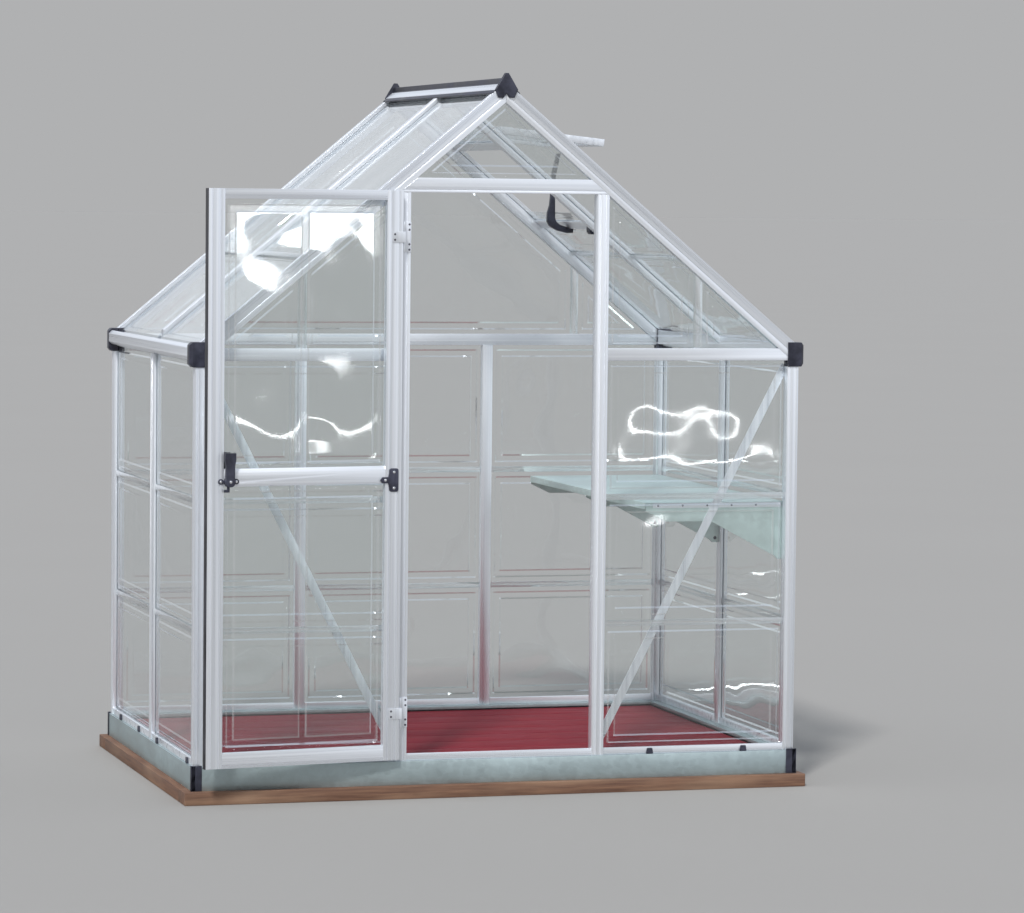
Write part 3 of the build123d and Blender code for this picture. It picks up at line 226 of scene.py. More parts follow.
def lamp(kind, name, place, target, energy, size=(1.0, 1.0), spread=0.0, only=None):
    """Hang a lamp that looks at a point: a broad sun, or a softbox that may light one group only."""
    data = bpy.data.lights.new(name, kind)
    data.energy = energy
    if kind == "SUN":
        data.angle = spread
    else:
        data.shape, data.size, data.size_y = "RECTANGLE", size[0], size[1]
    made = bpy.data.objects.new(name, data)
    made.location = place
    made.rotation_euler = (Vector(target) - Vector(place)).to_track_quat("-Z", "Y").to_euler()
    made.visible_camera = False
    if only:
        made.light_linking.receiver_collection = only
    bpy.context.scene.collection.objects.link(made)


lamp("SUN", "sun", (-4.0, -7.0, 9.0), (0.0, 0.0, 1.0), 3.2, spread=radians(8))
for side, x, y, level, tall in (
    ("leaf", 3.0, -7.4, 1.765, 0.57), ("leaf", 3.0, -7.4, 0.70, 0.035), ("front", 3.1, -7.4, 0.56, 0.030),
    ("back", -2.6, 7.4, 1.10, 0.10), ("left", -7.4, -1.5, 1.10, 0.10), ("right", 7.4, 2.0, 1.10, 0.10),
):
    if side not in glinting:
        glinting[side] = bpy.data.collections.new(side + "_sheets")
    glow, long = 14.0 * 3.1416, 2.6
    lamp("AREA", side + "_glints", (x, y, level), (0.0, 0.0, level), glow * long * tall, (long, tall), 0.0, glinting[side])


# Timber sill: four planed boards of brown-stained softwood, laid flat on the
# ground in a rectangle and butted at the corners.
def merged_copy(node):
    """Take a copy of a frame piece's mesh, with its loose triangles joined up."""
    mesh = bpy.data.meshes.new(node + "_finished")
    work = bmesh.new()
    work.from_mesh(frame["nodes"][node].data)
    bmesh.ops.remove_doubles(work, verts=work.verts, dist=0.02 * mm)
    bmesh.ops.dissolve_limit(
        work, angle_limit=radians(0.4), use_dissolve_boundaries=False, verts=work.verts, edges=work.edges,
    )
    work.to_mesh(mesh)
    work.free()
    return mesh


def finished_piece(name, mesh, finish, body="frame", edge=0.0, segments=2, stands_for=()):
    """Put a mesh in the scene with its finish and eased edges, riding on a body."""
    made = bpy.data.objects.new(name, mesh)
    bpy.context.scene.collection.objects.link(made)
    mesh.materials.clear()
    mesh.materials.append(finish)
    if edge:
        for face in mesh.polygons:
            face.use_smooth = True
        eased = made.modifiers.new("eased_edges", "BEVEL")
        eased.width, eased.segments, eased.limit_method = edge, segments, "ANGLE"
        eased.angle_limit, eased.harden_normals, eased.use_clamp_overlap = radians(25), True, True
    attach(made, body)
    if stands_for:
        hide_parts(*stands_for)
    return made


def eased_node(node, finish, edge, body="frame", segments=2):
    """Stand a merged copy with eased edges in for one frame piece."""
    return finished_piece(node + "_finished", merged_copy(node), finish, body, edge, segments, (node,))


def stained_timber(name, along):
    """Softwood with a brown stain: long grain, paler worn streaks and dark knots."""
    made = Finish(name)
    fine = made.place(scale=tuple(3.0 if axis == along else 60.0 for axis in range(3)))
    broad = made.place(scale=tuple(1.2 if axis == along else 9.0 for axis in range(3)))
    grain = made.noise(fine, 2.4, 6.0, 0.6)
    streak = made.noise(broad, 2.0, 3.0)
    wear = made.noise(made.place(), 3.5, 4.0)
    tone = made.blend(grain, (0.085, 0.038, 0.022, 1.0), (0.20, 0.105, 0.062, 1.0))
    tone = made.blend((streak * wear * 1.6 - 0.2).clamp() * 0.7, tone, (0.30, 0.19, 0.12, 1.0))
    return made.surface({
        "Base Color": tone,
        "Roughness": 0.62 + 0.25 * grain,
        "Normal": made.bump(grain + streak * 0.5, 0.45, 0.8 * mm),
    })


sill_edge = 2.0 * mm
eased_node("timber_sill_ends", stained_timber("stained_timber_across", 0), sill_edge)
sill_side_finish = stained_timber("stained_timber_along", 1)
eased_node("timber_sill_sides", sill_side_finish, sill_edge)

# Floor: dark red painted boards laid across three rough bearers inside the
# base, with open joints between them.
eased_node("floor_bearers", sill_side_finish, sill_edge)


def red_paint():
    """Dark red paint, thin over the grain, with scuffed pale patches."""
    made = Finish("red_floor_paint")
    grain = made.noise(made.place(scale=(3.0, 70.0, 70.0)), 2.0, 6.0, 0.6)
    scuffs = made.noise(made.place(scale=(4.0, 12.0, 12.0)), 1.5, 5.0, 0.7)
    tone = made.blend(grain, (0.125, 0.006, 0.014, 1.0), (0.225, 0.014, 0.026, 1.0))
    tone = made.blend((scuffs * 2.0 - 1.0).clamp() * 0.20, tone, (0.36, 0.10, 0.09, 1.0))
    return made.surface({
        "Base Color": tone,
        "Specular IOR Level": 0.20,
        "Roughness": 0.62 + 0.3 * scuffs,
        "Normal": made.bump(grain, 0.35, 0.6 * mm),
    })


board_edge = 1.5 * mm
eased_node("floor_boards", red_paint(), board_edge)


# Base: four rails folded from galvanised sheet, mitred at the corners, with a
# fine mottled zinc coat.
def zinc_coat(name, tint):
    """Hot-dip zinc: small pale spangles, a cool tint and faint run marks."""
    made = Finish(name)
    where = made.place()
    spangle = made.node("TexVoronoi", {"feature": "F1"}, {"Vector": where, "Scale": 70.0}, "Color")
    grey = made.node("RGBToBW", None, {"Color": spangle})
    cloud = made.noise(where, 5.0, 5.0, 0.6)
    light = tuple(0.52 * t for t in tint) + (1.0,)
    dark = tuple(0.38 * t for t in tint) + (1.0,)
    tone = made.blend((grey * 0.4 + cloud * 0.6).clamp(), dark, light)
    return made.surface({
        "Base Color": tone,
        "Metallic": 0.80,
        "Roughness": (0.32 + 0.20 * cloud + 0.12 * grey).clamp(),
        "Normal": made.bump(grey * 0.3 + cloud, 0.12, 0.5 * mm),
    })


sheet_fold = 0.6 * mm
base_zinc = zinc_coat("zinc_base", (0.84, 1.00, 1.02))
eased_node("base_ends", base_zinc, sheet_fold)
eased_node("base_sides", base_zinc, sheet_fold)


# Base corner caps: moulded black angles pushed over the mitres, each with a
# wider plate over the end of the long rail.
def moulded_black(name, tone=(0.011, 0.012, 0.022)):
    """Black moulded plastic with a fine grain and a slight bloom from weather."""
    made = Finish(name)
    where = made.place()
    grain = made.noise(where, 900.0, 2.0)
    bloom = made.noise(where, 14.0, 5.0, 0.65)
    dark = tone + (1.0,)
    pale = tuple(t * 2.2 + 0.012 for t in tone) + (1.0,)
    return made.surface({
        "Base Color": made.blend((bloom * 2.0 - 0.6).clamp(), dark, pale),
        "Roughness": 0.32 + 0.22 * bloom,
        "Normal": made.bump(grain, 0.18, 0.15 * mm),
    })


def prism(name, outlines, low, high):
    """Stretch outlines of (x, z) points, in millimetres, from one y to another."""
    mesh = bpy.data.meshes.new(name)
    work = bmesh.new()
    for outline in outlines:
        face = work.faces.new([work.verts.new((x * mm, low * mm, z * mm)) for x, z in outline])
        moved = bmesh.ops.extrude_face_region(work, geom=[face])["geom"]
        moved = [part for part in moved if isinstance(part, bmesh.types.BMVert)]
        bmesh.ops.translate(work, verts=moved, vec=(0.0, (high - low) * mm, 0.0))
    bmesh.ops.recalc_face_normals(work, faces=work.faces)
    work.to_mesh(mesh)
    work.free()
    return mesh


black_plastic = moulded_black("black_plastic")
moulded_edge = 1.2 * mm
eased_node("base_corner_caps", black_plastic, moulded_edge)
cap_low, cap_high = (Vector(corner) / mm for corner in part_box("base_corner_caps"))
plate_width, plate_sheet = 32.0, 2.8
plate_outlines = []
for side in (-1, 1):
    edge_x, inner_x = side * cap_high.x, side * (cap_high.x - plate_width)
    plate_outlines.append([(edge_x, cap_low.z), (edge_x, cap_high.z), (inner_x, cap_high.z), (inner_x, cap_low.z)])
for name, plate_y in (("front", cap_low.y), ("back", cap_high.y - plate_sheet)):
    plates = prism("cap_plates_" + name, plate_outlines, plate_y, plate_y + plate_sheet)
    finished_piece("cap_plates_" + name, plates, black_plastic, edge=0.6 * mm)


# Small hardware: round heads of one shape, in bright and in dark steel, for
# every screw, bolt and rivet that is set further on.
class Shape(Graph):
    """A geometry tree with named inputs, for what repeats on the object."""

    prefix = "GeometryNode"

    def __init__(self, name, sizes):
        tree = bpy.data.node_groups.new(name, "GeometryNodeTree")
        tree.interface.new_socket("Geometry", in_out="INPUT", socket_type="NodeSocketGeometry")
        self.ids = {}
        for label, kind in sizes.items():
            made = tree.interface.new_socket(label, in_out="INPUT", socket_type="NodeSocket" + kind)
            self.ids[label] = made.identifier
        tree.interface.new_socket("Geometry", in_out="OUTPUT", socket_type="NodeSocketGeometry")
        super().__init__(tree)
        self.start = tree.nodes.new("NodeGroupInput")
        self.end = tree.nodes.new("NodeGroupOutput")

    def given(self, label):
        """The wire of one of the tree's own inputs."""
        return Wire(self.tree, self.start.outputs[label])

    def on_every_spot(self, pattern):
        """Stand the pattern on every point, out along its axis and upright, and end the tree."""
        axis = self.node("InputNamedAttribute", {"data_type": "FLOAT_VECTOR"}, {"Name": "axis"})
        facing = self.node("FunctionNodeAlignRotationToVector", {"axis": "Z"}, {"Vector": axis})
        upright = self.node(
            "FunctionNodeAlignRotationToVector", {"axis": "Y", "pivot_axis": "Z"},
            {"Rotation": facing, "Vector": (0.0, 0.0, 1.0)},
        )
        copies = self.node("InstanceOnPoints", None, {
            "Points": self.given("Geometry"), "Instance": pattern, "Rotation": upright,
        })
        real = self.node("RealizeInstances", None, {"Geometry": copies})
        dressed = self.node("SetMaterial", None, {"Geometry": real, "Material": self.given("Finish")})
        self.tree.links.new(dressed.socket, self.end.inputs[0])

    def repeat(self, name, spots, sizes, finish, slot, body="frame", edge=0.0):
        """Run the tree on points given in millimetres, each with its axis, into a plain piece."""
        points = bpy.data.meshes.new(name + "_points")
        points.from_pydata([tuple(c * mm for c in place) for place, axis in spots], [], [])
        ways = points.attributes.new("axis", "FLOAT_VECTOR", "POINT")
        for value, (place, axis) in zip(ways.data, spots):
            value.vector = Vector(axis).normalized()
        grower = bpy.data.objects.new(name + "_points", points)
        bpy.context.scene.collection.objects.link(grower)
        growth = grower.modifiers.new("growth", "NODES")
        growth.node_group = self.tree
        for label, value in sizes.items():
            growth[self.ids[label]] = value
        growth[self.ids["Finish"]] = finish
        grown = grower.evaluated_get(bpy.context.evaluated_depsgraph_get())
        mesh = bpy.data.meshes.new_from_object(grown)
        bpy.data.objects.remove(grower)
        return finished_piece(name, mesh, finish, body, edge)


screws = Shape("screw_heads", {
    "Head radius": "Float", "Head height": "Float", "Crown": "Float", "Sides": "Int", "Finish": "Material",
})
screw_rim = screws.node("MeshCone", None, {
    "Vertices": screws.given("Sides"), "Radius Bottom": screws.given("Head radius"),
    "Radius Top": screws.given("Head radius") * 0.9, "Depth": screws.given("Head height") * 0.5,
})
screw_crown = screws.node("MeshCone", None, {
    "Vertices": screws.given("Sides"), "Radius Bottom": screws.given("Head radius") * 0.9,
    "Radius Top": screws.given("Head radius") * screws.given("Crown"),
    "Depth": screws.given("Head height") * 0.5,
})
screw_lift = screws.node("ShaderNodeCombineXYZ", None, {"Z": screws.given("Head height") * 0.5})
screw_top = screws.node("Transform", None, {"Geometry": screw_crown, "Translation": screw_lift})
screw_joined = screws.node("JoinGeometry", None, {"Geometry": screw_rim})
screws.tree.links.new(screw_top.socket, screw_joined.socket.node.inputs[0])
screws.on_every_spot(screw_joined)


def plain_steel(name, tone, rough):
    """Bright or dark steel of small hardware, faintly mottled."""
    made = Finish(name)
    cloud = made.noise(made.place(), 160.0, 3.0, 0.6)
    light, dark = tuple(t * 1.15 for t in tone) + (1.0,), tuple(t * 0.8 for t in tone) + (1.0,)
    return made.surface({
        "Base Color": made.blend(cloud, dark, light),
        "Metallic": 1.0,
        "Roughness": (rough + 0.15 * cloud).clamp(),
        "Normal": made.bump(cloud, 0.1, 0.1 * mm),
    })


bright_steel = plain_steel("bright_steel", (0.80, 0.81, 0.83), 0.18)
# The dark steel is real on the screws, and it also serves as painted shade in the holes of the shelf brackets.
dark_steel = plain_steel("dark_steel", (0.10, 0.10, 0.12), 0.35)

# Base clips: short black wedges that press the bottom rails down on the base.
clips = Shape("wedge_clips", {
    "Foot": "Float", "Head": "Float", "Height": "Float", "Thickness": "Float", "Corner": "Float",
    "Finish": "Material",
})
clip_outline = clips.node("CurvePrimitiveQuadrilateral", {"mode": "TRAPEZOID"}, {
    "Height": clips.given("Height"), "Bottom Width": clips.given("Foot"),
    "Top Width": clips.given("Head"), "Offset": 0.0,
})
clip_rounded = clips.node("FilletCurve", {"mode": "POLY"}, {
    "Curve": clip_outline, "Radius": clips.given("Corner"), "Count": 3,
})
clip_face = clips.node("FillCurve", {"mode": "NGONS"}, {"Curve": clip_rounded})
clip_body = clips.node("ExtrudeMesh", {"mode": "FACES"}, {
    "Mesh": clip_face, "Offset": (0.0, 0.0, 1.0), "Offset Scale": clips.given("Thickness"),
    "Individual": False,
})
clip_back = clips.node("FlipFaces", None, {"Mesh": clip_face})
clip_joined = clips.node("JoinGeometry", None, {"Geometry": clip_body})
clips.tree.links.new(clip_back.socket, clip_joined.socket.node.inputs[0])
clip_closed = clips.node("MergeByDistance", None, {"Geometry": clip_joined, "Distance": 0.01 * mm})
clips.on_every_spot(clip_closed)

rail_face_x, rail_face_y = 915.0, 630.0
clip_level = 117.0
clip_spots = []
for x in (-758, -464, 464, 758):
    clip_spots.append(((x, -rail_face_y, clip_level), (0, -1, 0)))
for x in (-742, -455, -155, 155, 455, 742):
    clip_spots.append(((x, rail_face_y, clip_level), (0, 1, 0)))
for y in (-545, -106, 173, 462):
    for side in (-1, 1):
        clip_spots.append(((side * rail_face_x, y, clip_level), (side, 0, 0)))
clip_sizes = {
    "Foot": 22.0 * mm, "Head": 16.0 * mm, "Height": 17.0 * mm, "Thickness": 5.0 * mm, "Corner": 2.5 * mm,
}
clips.repeat("base_clips", clip_spots, clip_sizes, black_plastic, "black_plastic", edge=0.8 * mm)


# Frame bars: aluminium extrusions with fine die lines along them, in a bright
# mill finish, cut square and pushed into each other.
def extruded_metal(name, along, turn=0.0):
    """Mill aluminium with die lines along one axis, or down the roof's slope."""
    made = Finish(name)
    if along == "slope":
        where = made.node("TexCoord", output="Object")
        x, y, z = (made.node("SeparateXYZ", None, {0: where}, axis) for axis in "XYZ")
        down = abs(x) * cos(radians(40.0)) - z * sin(radians(40.0))
        out = abs(x) * sin(radians(40.0)) + z * cos(radians(40.0))
        fine, broad = (
            made.node("CombineXYZ", None, {0: down * 0.6, 1: y * scale, 2: out * scale}) for scale in (780.0, 75.0)
        )
    else:
        fine, broad = (
            made.place(tuple(0.6 if axis == along else scale for axis in range(3)), turn) for scale in (780.0, 75.0)
        )
    lines = made.noise(fine, 1.0, 3.0, 0.65)
    streaks = made.noise(broad, 1.0, 2.0)
    share = (lines * 0.35 + streaks * 0.65).clamp()
    return made.surface({
        "Base Color": made.blend(share, (0.66, 0.69, 0.74, 1.0), (0.93, 0.95, 0.98, 1.0)),
        "Metallic": 0.74,
        "Roughness": (0.20 + 0.16 * lines + 0.16 * streaks).clamp(),
        "Normal": made.bump(lines * 0.4 + streaks, 0.2, 0.4 * mm),
    })


leaf_turn = radians(8.5)
metal_x = extruded_metal("aluminium_across", 0)
metal_y = extruded_metal("aluminium_back_to_front", 1)
metal_z = extruded_metal("aluminium_upright", 2)
metal_slope = extruded_metal("aluminium_slope", "slope")
bar_edge = 0.8 * mm
for bar in ("corner_posts", "side_posts", "back_posts", "door_jambs"):
    eased_node(bar, metal_z, bar_edge)
for bar in ("lintel", "eave_rails", "bottom_rails"):
    eased_node(bar, metal_x, bar_edge)
eased_node("ridge_beam", metal_y, bar_edge)
for bar in ("front_rafters", "back_rafters", "mid_rafters"):
    eased_node(bar, metal_slope, bar_edge)

# Gutters: bright faceted channels along both eaves, closed at their ends by
# eight-sided black caps that also sit over the corner posts.
gutter_edge = 1.0 * mm
for gutter in ("gutter_left", "gutter_right"):
    eased_node(gutter, metal_y, gutter_edge)
cap_edge = 2.0 * mm
eased_node("eave_corner_caps", black_plastic, cap_edge, segments=3)

# Ridge: a dark crested cover with a bright strip pressed on each of its
# slopes, ended by kite-shaped caps.
eased_node("ridge_cover", black_plastic, moulded_edge)
eased_node("ridge_end_caps", black_plastic, 0.8 * mm)
roof_slope = radians(40.0)
apex_height = 2087.45
cover_rise = 3.0 / cos(roof_slope)


def on_roof(x, above):
    """Point (x, z) of the roof's outer plane, lifted straight up."""
    return (x, apex_height - abs(x) * tan(roof_slope) + above)


strip_from, strip_to, strip_sheet = 12.0, 33.0, 0.9
strip_outlines = [
    [
        on_roof(side * strip_from, cover_rise), on_roof(side * strip_to, cover_rise),
        on_roof(side * strip_to, cover_rise + strip_sheet), on_roof(side * strip_from, cover_rise + strip_sheet),
    ]
    for side in (-1, 1)
]
strip_half = 631.5
strip_mesh = prism("ridge_strips", strip_outlines, -strip_half, strip_half)
finished_piece("ridge_strips", strip_mesh, metal_y, edge=0.3 * mm)


# Clear sheets: thin crystal plastic with a formed ridge along every edge, which
# leaves the middle a little wavy, pushed into slots in the bars around it.
def clear_plastic(name, gloss):
    """Clear plastic: see-through, glossy at a slant, brighter along its folds."""
    made = Finish(name)
    facing = made.node("LayerWeight", None, {"Blend": 0.5}, "Facing")
    fold = made.node("Attribute", {"attribute_name": "fold"}, None, "Fac")
    smear = made.noise(made.place(), 8.0, 4.0, 0.6)
    mirror = made.node("BsdfPrincipled", None, {
        "Base Color": (0.97, 0.985, 1.0, 1.0), "Metallic": 1.0, "Roughness": (0.02 + 0.03 * smear).clamp(),
    })
    through = made.node("BsdfTransparent", None, {"Color": (0.972, 0.982, 0.980, 1.0)})
    share = (gloss + 0.80 * facing ** 5.0 + 0.20 * fold).clamp()
    return made.show(made.node("MixShader", None, {0: share, 1: through, 2: mirror}))


clear = clear_plastic("clear_sheet_plastic", 0.045)
rim_start, rim_width, rim_flank, rim_rise = 20.0 * mm, 25.0 * mm, 5.0 * mm, 2.6 * mm
wave_height, ripple_height, wave_base = 1.9 * mm, 0.55 * mm, 0.9 * mm
wave_scale, ripple_scale = 6.5, 17.0
wave_fade = 60.0 * mm
grid_step = 26.0 * mm
sheet_wall = 1.0 * mm
short_side = 60.0 * mm
rib_half = 13.5 * mm
calm_fold = -0.18


def ridge_share(distance, start, width):
    """How far a ridge has risen at a distance, from 0 to 1."""
    into = min(distance - start, start + width - distance)
    return max(0.0, min(1.0, into / rim_flank))


def formed_sheets(node, outward, side, body="frame", rib_along=None):
    """Re-form each flat sheet of a frame piece: ridges by its edges, soft waves between."""
    outward = Vector(outward).normalized()
    source = bmesh.new()
    source.from_mesh(merged_copy(node))
    places, faces, folds = [], [], []
    inner_faces = [face for face in source.faces if face.normal.dot(outward) < -0.999]
    for number, inner in enumerate(inner_faces):
        corners = [corner.co.copy() for corner in inner.verts]
        work = bmesh.new()
        work.faces.new([work.verts.new(corner) for corner in corners])
        sides = []
        for first, second in zip(corners, corners[1:] + corners[:1]):
            if (second - first).length > short_side:
                sides.append((first, inner.normal.cross(second - first).normalized()))
        cuts = []
        for place, inward in sides:
            for depth in (rim_start, rim_start + rim_flank, rim_start + rim_width - rim_flank, rim_start + rim_width):
                cuts.append((place + inward * depth, inward))
        middle = sum(corners, Vector()) / len(corners)
        if rib_along:
            lows = [min((c - middle).dot(rib_along) for c in corners), max((c - middle).dot(rib_along) for c in corners)]
            middle = middle + rib_along * sum(lows) / 2
            for depth in (-rib_half, rim_flank - rib_half, rib_half - rim_flank, rib_half):
                cuts.append((middle + rib_along * depth, rib_along))
        first_way = sides[0][1]
        for way in (first_way, outward.cross(first_way)):
            spans = [(corner - middle).dot(way) for corner in corners]
            steps = int((max(spans) - min(spans)) / grid_step)
            for step in range(1, steps):
                cuts.append((middle + way * (min(spans) + step * grid_step), way))
        for place, way in cuts:
            everything = work.verts[:] + work.edges[:] + work.faces[:]
            bmesh.ops.bisect_plane(work, geom=everything, dist=0.001 * mm, plane_co=place, plane_no=way)

        def ridge_at(point):
            from_edge = min((point - place).dot(inward) for place, inward in sides)
            ridge = ridge_share(from_edge, rim_start, rim_width)
            if rib_along and from_edge > rim_start:
                ridge = max(ridge, ridge_share((point - middle).dot(rib_along), -rib_half, 2 * rib_half))
            return from_edge, ridge

        shift = Vector((3.1, 5.7, 1.3)) * (number + 1)
        base = len(places)
        work.verts.index_update()
        for face in work.faces:
            from_edge, share = ridge_at(face.calc_center_median())
            calm = share > 0.98 or from_edge < rim_start
            folds.append(1.0 if 0.02 < share < 0.98 else calm_fold * calm)
            faces.append([base + corner.index for corner in face.verts])
        for corner in work.verts:
            from_edge, ridge = ridge_at(corner.co)
            wave = wave_height * noise.noise(corner.co * wave_scale + shift)
            wave += ripple_height * noise.noise(corner.co * ripple_scale + shift)
            fade = max(0.0, min(1.0, (from_edge - rim_start - rim_width) / wave_fade))
            fade = fade * fade * (3.0 - 2.0 * fade) * (1.0 - ridge)
            lift = max(0.1 * mm, 0.3 * mm + (wave + wave_base) * fade + rim_rise * ridge)
            places.append(corner.co + outward * lift)
        work.free()
    source.free()
    mesh = bpy.data.meshes.new(node + "_formed")
    mesh.from_pydata(places, [], faces)
    mesh.attributes.new("fold", "FLOAT", "FACE").data.foreach_set("value", folds)
    for face in mesh.polygons:
        face.use_smooth = True
    mesh.set_sharp_from_angle(angle=radians(14))
    made = finished_piece(node + "_formed", mesh, clear, body, stands_for=(node,))
    glinting[side].objects.link(made)
    wall = made.modifiers.new("sheet_wall", "SOLIDIFY")
    wall.thickness, wall.offset = sheet_wall, -1.0


roof_out = (sin(roof_slope), 0.0, cos(roof_slope))
roof_out_left = (-sin(roof_slope), 0.0, cos(roof_slope))
for walls, outward, side in (
    ("front_wall_panels", (0, -1, 0), "front"), ("back_wall_panels", (0, 1, 0), "back"),
    ("left_wall_panels", (-1, 0, 0), "left"), ("right_wall_panels", (1, 0, 0), "right"),
    ("front_gable_panels", (0, -1, 0), "front"), ("back_gable_panels", (0, 1, 0), "back"),
    ("left_roof_panels", roof_out_left, "left"), ("right_roof_panels", roof_out, "right"),
):
    formed_sheets(walls, outward, side)

# Sheet joiners: clear plastic profiles with a slot on each side, one between
# each sheet and the next on the walls, the gables and the roof.
clear_profile = clear_plastic("clear_profile_plastic", 0.32)
for joiner in (
    "front_joiners", "back_joiners", "left_joiners", "right_joiners",
    "left_roof_joiners", "right_roof_joiners", "gable_joiners",
):
    eased_node(joiner, clear_profile, 0.5 * mm)

# Roof vent: a small aluminium frame with its own clear sheet, hung on a strip
# and propped on a bent black stay.
for bar in ("vent_surround", "vent_hinge_strip", "vent_frame"):
    eased_node(bar, metal_y, bar_edge)
vent_tilt = radians(6.0)
formed_sheets("vent_panel", (sin(vent_tilt), 0.0, cos(vent_tilt)), "right")
stay_low, stay_high = (Vector(corner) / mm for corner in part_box("vent_stay"))
stay_outline = [
    (443, 1893), (455, 1893), (440, 1826), (438, 1759), (439, 1690), (443, 1678), (455, 1668), (481, 1660),
    (499, 1656), (499, 1643), (479, 1642), (446, 1650), (421, 1664), (413, 1679), (414, 1706), (421, 1730),
    (424, 1759), (426, 1826),
]
stay_mesh = prism("vent_stay_finished", [stay_outline], stay_low.y, stay_high.y)
finished_piece("vent_stay_finished", stay_mesh, black_plastic, edge=moulded_edge, stands_for=("vent_stay",))
bracket_outline = [(466, 1676), (497, 1664), (497, 1648), (490, 1641), (472, 1641), (466, 1649)]
bracket_mesh = prism("vent_bracket", [bracket_outline], 30.0, 60.0)
finished_piece("vent_bracket", bracket_mesh, black_plastic, edge=moulded_edge)

# Braces: flat aluminium straps behind the front sheets, corner to corner of
# each bay, with a bolt near each end.
eased_node("diagonal_braces", metal_z, 0.4 * mm)
brace_head, brace_foot = (876.0, 1247.0), (330.0, 165.0)
brace_face = -600.0
brace_spots = [
    ((side * x, brace_face, z), (0, -1, 0)) for side in (-1, 1) for x, z in (brace_head, brace_foot)
]
small_bolt = {"Head radius": 4.5 * mm, "Head height": 2.4 * mm, "Crown": 0.6, "Sides": 14}
screws.repeat("brace_bolts", brace_spots, small_bolt, bright_steel, "aluminium")

# Shelf: a pale galvanised tray with a turned-down lip on tapered brackets,
# the front one with a bright edge strip and a row of screws.
shelf_zinc = zinc_coat("zinc_shelf", (1.30, 1.52, 1.48))
eased_node("shelf", shelf_zinc, 0.5 * mm)
low, high = (Vector(corner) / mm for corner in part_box("shelf_brackets"))
bracket_outline = [
    (low.x, high.z), (high.x, high.z), (high.x, low.z), (high.x - 22, low.z), (high.x - 31, low.z + 9),
    (659, 795), (518, 796), (low.x, 826),
]
bracket_sheet, flange = 3.0, 24.0
flange_outline = [(low.x, high.z), (high.x, high.z), (high.x, high.z - bracket_sheet), (low.x, high.z - bracket_sheet)]
bracket_backs = (low.y, (low.y + high.y - bracket_sheet) / 2, high.y - bracket_sheet)
brackets = bmesh.new()
for back, way in zip(bracket_backs, (1, 1, -1)):
    brackets.from_mesh(prism("shelf_bracket", [bracket_outline], back, back + bracket_sheet))
    fold_at = back + (bracket_sheet if way > 0 else 0.0)
    brackets.from_mesh(prism("bracket_flange", [flange_outline], fold_at, fold_at + way * flange))
brackets_mesh = bpy.data.meshes.new("shelf_brackets_finished")
brackets.to_mesh(brackets_mesh)
brackets.free()
finished_piece("shelf_brackets_finished", brackets_mesh, shelf_zinc, edge=0.4 * mm, stands_for=("shelf_brackets",))
# Barely raised dark discs stand in for the holes in the brackets: their darkness is painted shade, not an opening.
hole_spots = [((high.x - 12, back, low.z + 14), (0, -1, 0)) for back in bracket_backs[1:]]
hole_shade_disc = {"Head radius": 5.5 * mm, "Head height": 0.4 * mm, "Crown": 0.9, "Sides": 16}
screws.repeat("bracket_hole_shade", hole_spots, hole_shade_disc, dark_steel, "galvanised_steel")
strip_outline = [(477, 836), (881, 836), (881, 851), (477, 851)]
shelf_strip = prism("shelf_strip", [strip_outline], low.y - 0.9, low.y)
finished_piece("shelf_strip", shelf_strip, metal_x, edge=0.3 * mm)
strip_screw = {"Head radius": 3.2 * mm, "Head height": 0.9 * mm, "Crown": 0.6, "Sides": 12}
strip_spots = [((x, low.y - 0.9, 843.5), (0, -1, 0)) for x in (493, 570, 647, 724, 801)]
screws.repeat("shelf_screws", strip_spots, strip_screw, dark_steel, "galvanised_steel")

# Door leaf: extruded stiles and rails round two clear panes with a formed rib
# down the middle, and a black seal along the closing edge.
hinge_line = Vector((-309.0, -651.0, 0.0))
leaf_along = Vector((-cos(leaf_turn), -sin(leaf_turn), 0.0))
leaf_outward = Vector((-sin(leaf_turn), cos(leaf_turn), 0.0))
leaf_across = extruded_metal("aluminium_leaf_rails", 0, -leaf_turn)
leaf_upright = extruded_metal("aluminium_leaf_stiles", 2, -leaf_turn)
eased_node("door_stiles", leaf_upright, bar_edge, "door")
eased_node("door_rails", leaf_across, bar_edge, "door")
formed_sheets("door_panels", leaf_outward, "leaf", "door", leaf_along)
eased_node("door_seal", moulded_black("black_seal", (0.010, 0.010, 0.014)), 0.3 * mm, "door")


def on_leaf(run, level, depth):
    """Point of the leaf at a run from its hinges, a level, and a depth towards its outer face."""
    return tuple(hinge_line + leaf_along * run + leaf_outward * depth + Vector((0.0, 0.0, level)))


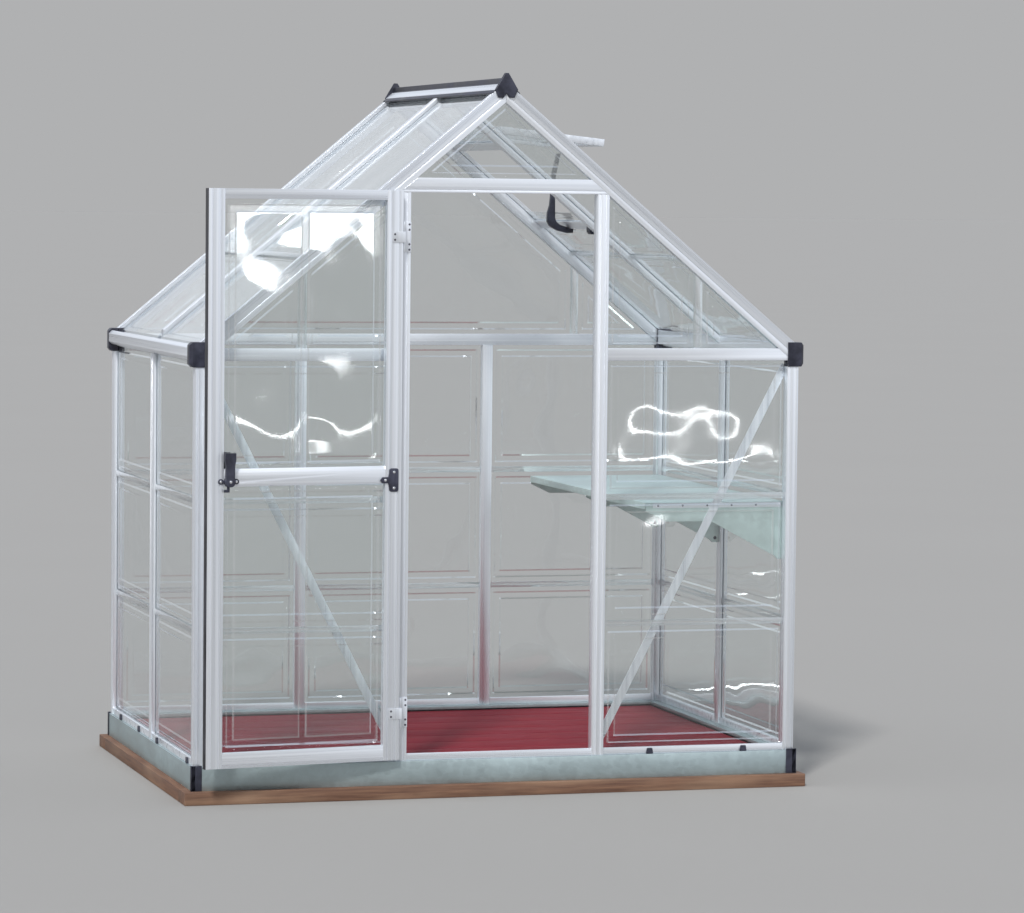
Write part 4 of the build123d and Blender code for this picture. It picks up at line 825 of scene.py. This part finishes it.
# Hinges: bent plates on the jamb and the leaf with a pin between them, and
# dark countersunk screws.
eased_node("jamb_hinge_plates", metal_z, 0.4 * mm)
eased_node("door_hinges", leaf_upright, 0.4 * mm, "door")
hinge_levels = (1635.0, 251.0)
plate_face_y = -634.0
leaf_inner = -10.0
hinge_sheet = 2.0
jamb_spots, leaf_spots = [], []
for level in hinge_levels:
    for up in (-36.6, -21.0, 21.0, 36.6):
        jamb_spots.append(((-288.0, plate_face_y, level + up), (0, -1, 0)))
    for up in (-8.0, 8.0):
        leaf_spots.append((on_leaf(33.0, level + up, leaf_inner - hinge_sheet), tuple(-leaf_outward)))
hinge_screw = {"Head radius": 3.2 * mm, "Head height": 1.2 * mm, "Crown": 0.5, "Sides": 12}
screws.repeat("jamb_hinge_screws", jamb_spots, hinge_screw, dark_steel, "aluminium")
screws.repeat("leaf_hinge_screws", leaf_spots, hinge_screw, dark_steel, "aluminium", "door")

# Black fittings: the plates under the handle and the connector by the hinges,
# held by bright rivets, and the waisted turning handle.
eased_node("door_fittings", black_plastic, 0.8 * mm, "door")
fitting_sheet = 3.0
handle_run, handle_level = 541.0, 937.48
fitting_face = leaf_inner - fitting_sheet
rivet_places = [
    on_leaf(30.0, 955.5, fitting_face), on_leaf(30.0, 909.5, fitting_face), on_leaf(57.0, 932.5, fitting_face),
    on_leaf(handle_run - 23.5, handle_level, fitting_face), on_leaf(handle_run + 23.5, handle_level, fitting_face),
]
rivet_spots = [(place, tuple(-leaf_outward)) for place in rivet_places]
rivet_spots += [
    (on_leaf(handle_run + side * 23.5, handle_level, -fitting_face), tuple(leaf_outward)) for side in (-1, 1)
]
rivet = {"Head radius": 4.4 * mm, "Head height": 1.8 * mm, "Crown": 0.5, "Sides": 14}
screws.repeat("fitting_rivets", rivet_spots, rivet, bright_steel, "aluminium", "door")
eased_node("door_handle", black_plastic, 2.5 * mm, "handle", 3)
grip_face = 30.0
pivot_spots = [
    (on_leaf(handle_run, handle_level, -grip_face), tuple(-leaf_outward)),
    (on_leaf(handle_run, handle_level, grip_face), tuple(leaf_outward)),
]
screws.repeat("handle_rivets", pivot_spots, rivet, bright_steel, "black_plastic", "handle")

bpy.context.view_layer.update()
if hasattr(bpy.context.scene, "cycles"):
    bpy.context.scene.cycles.transparent_max_bounces = 40
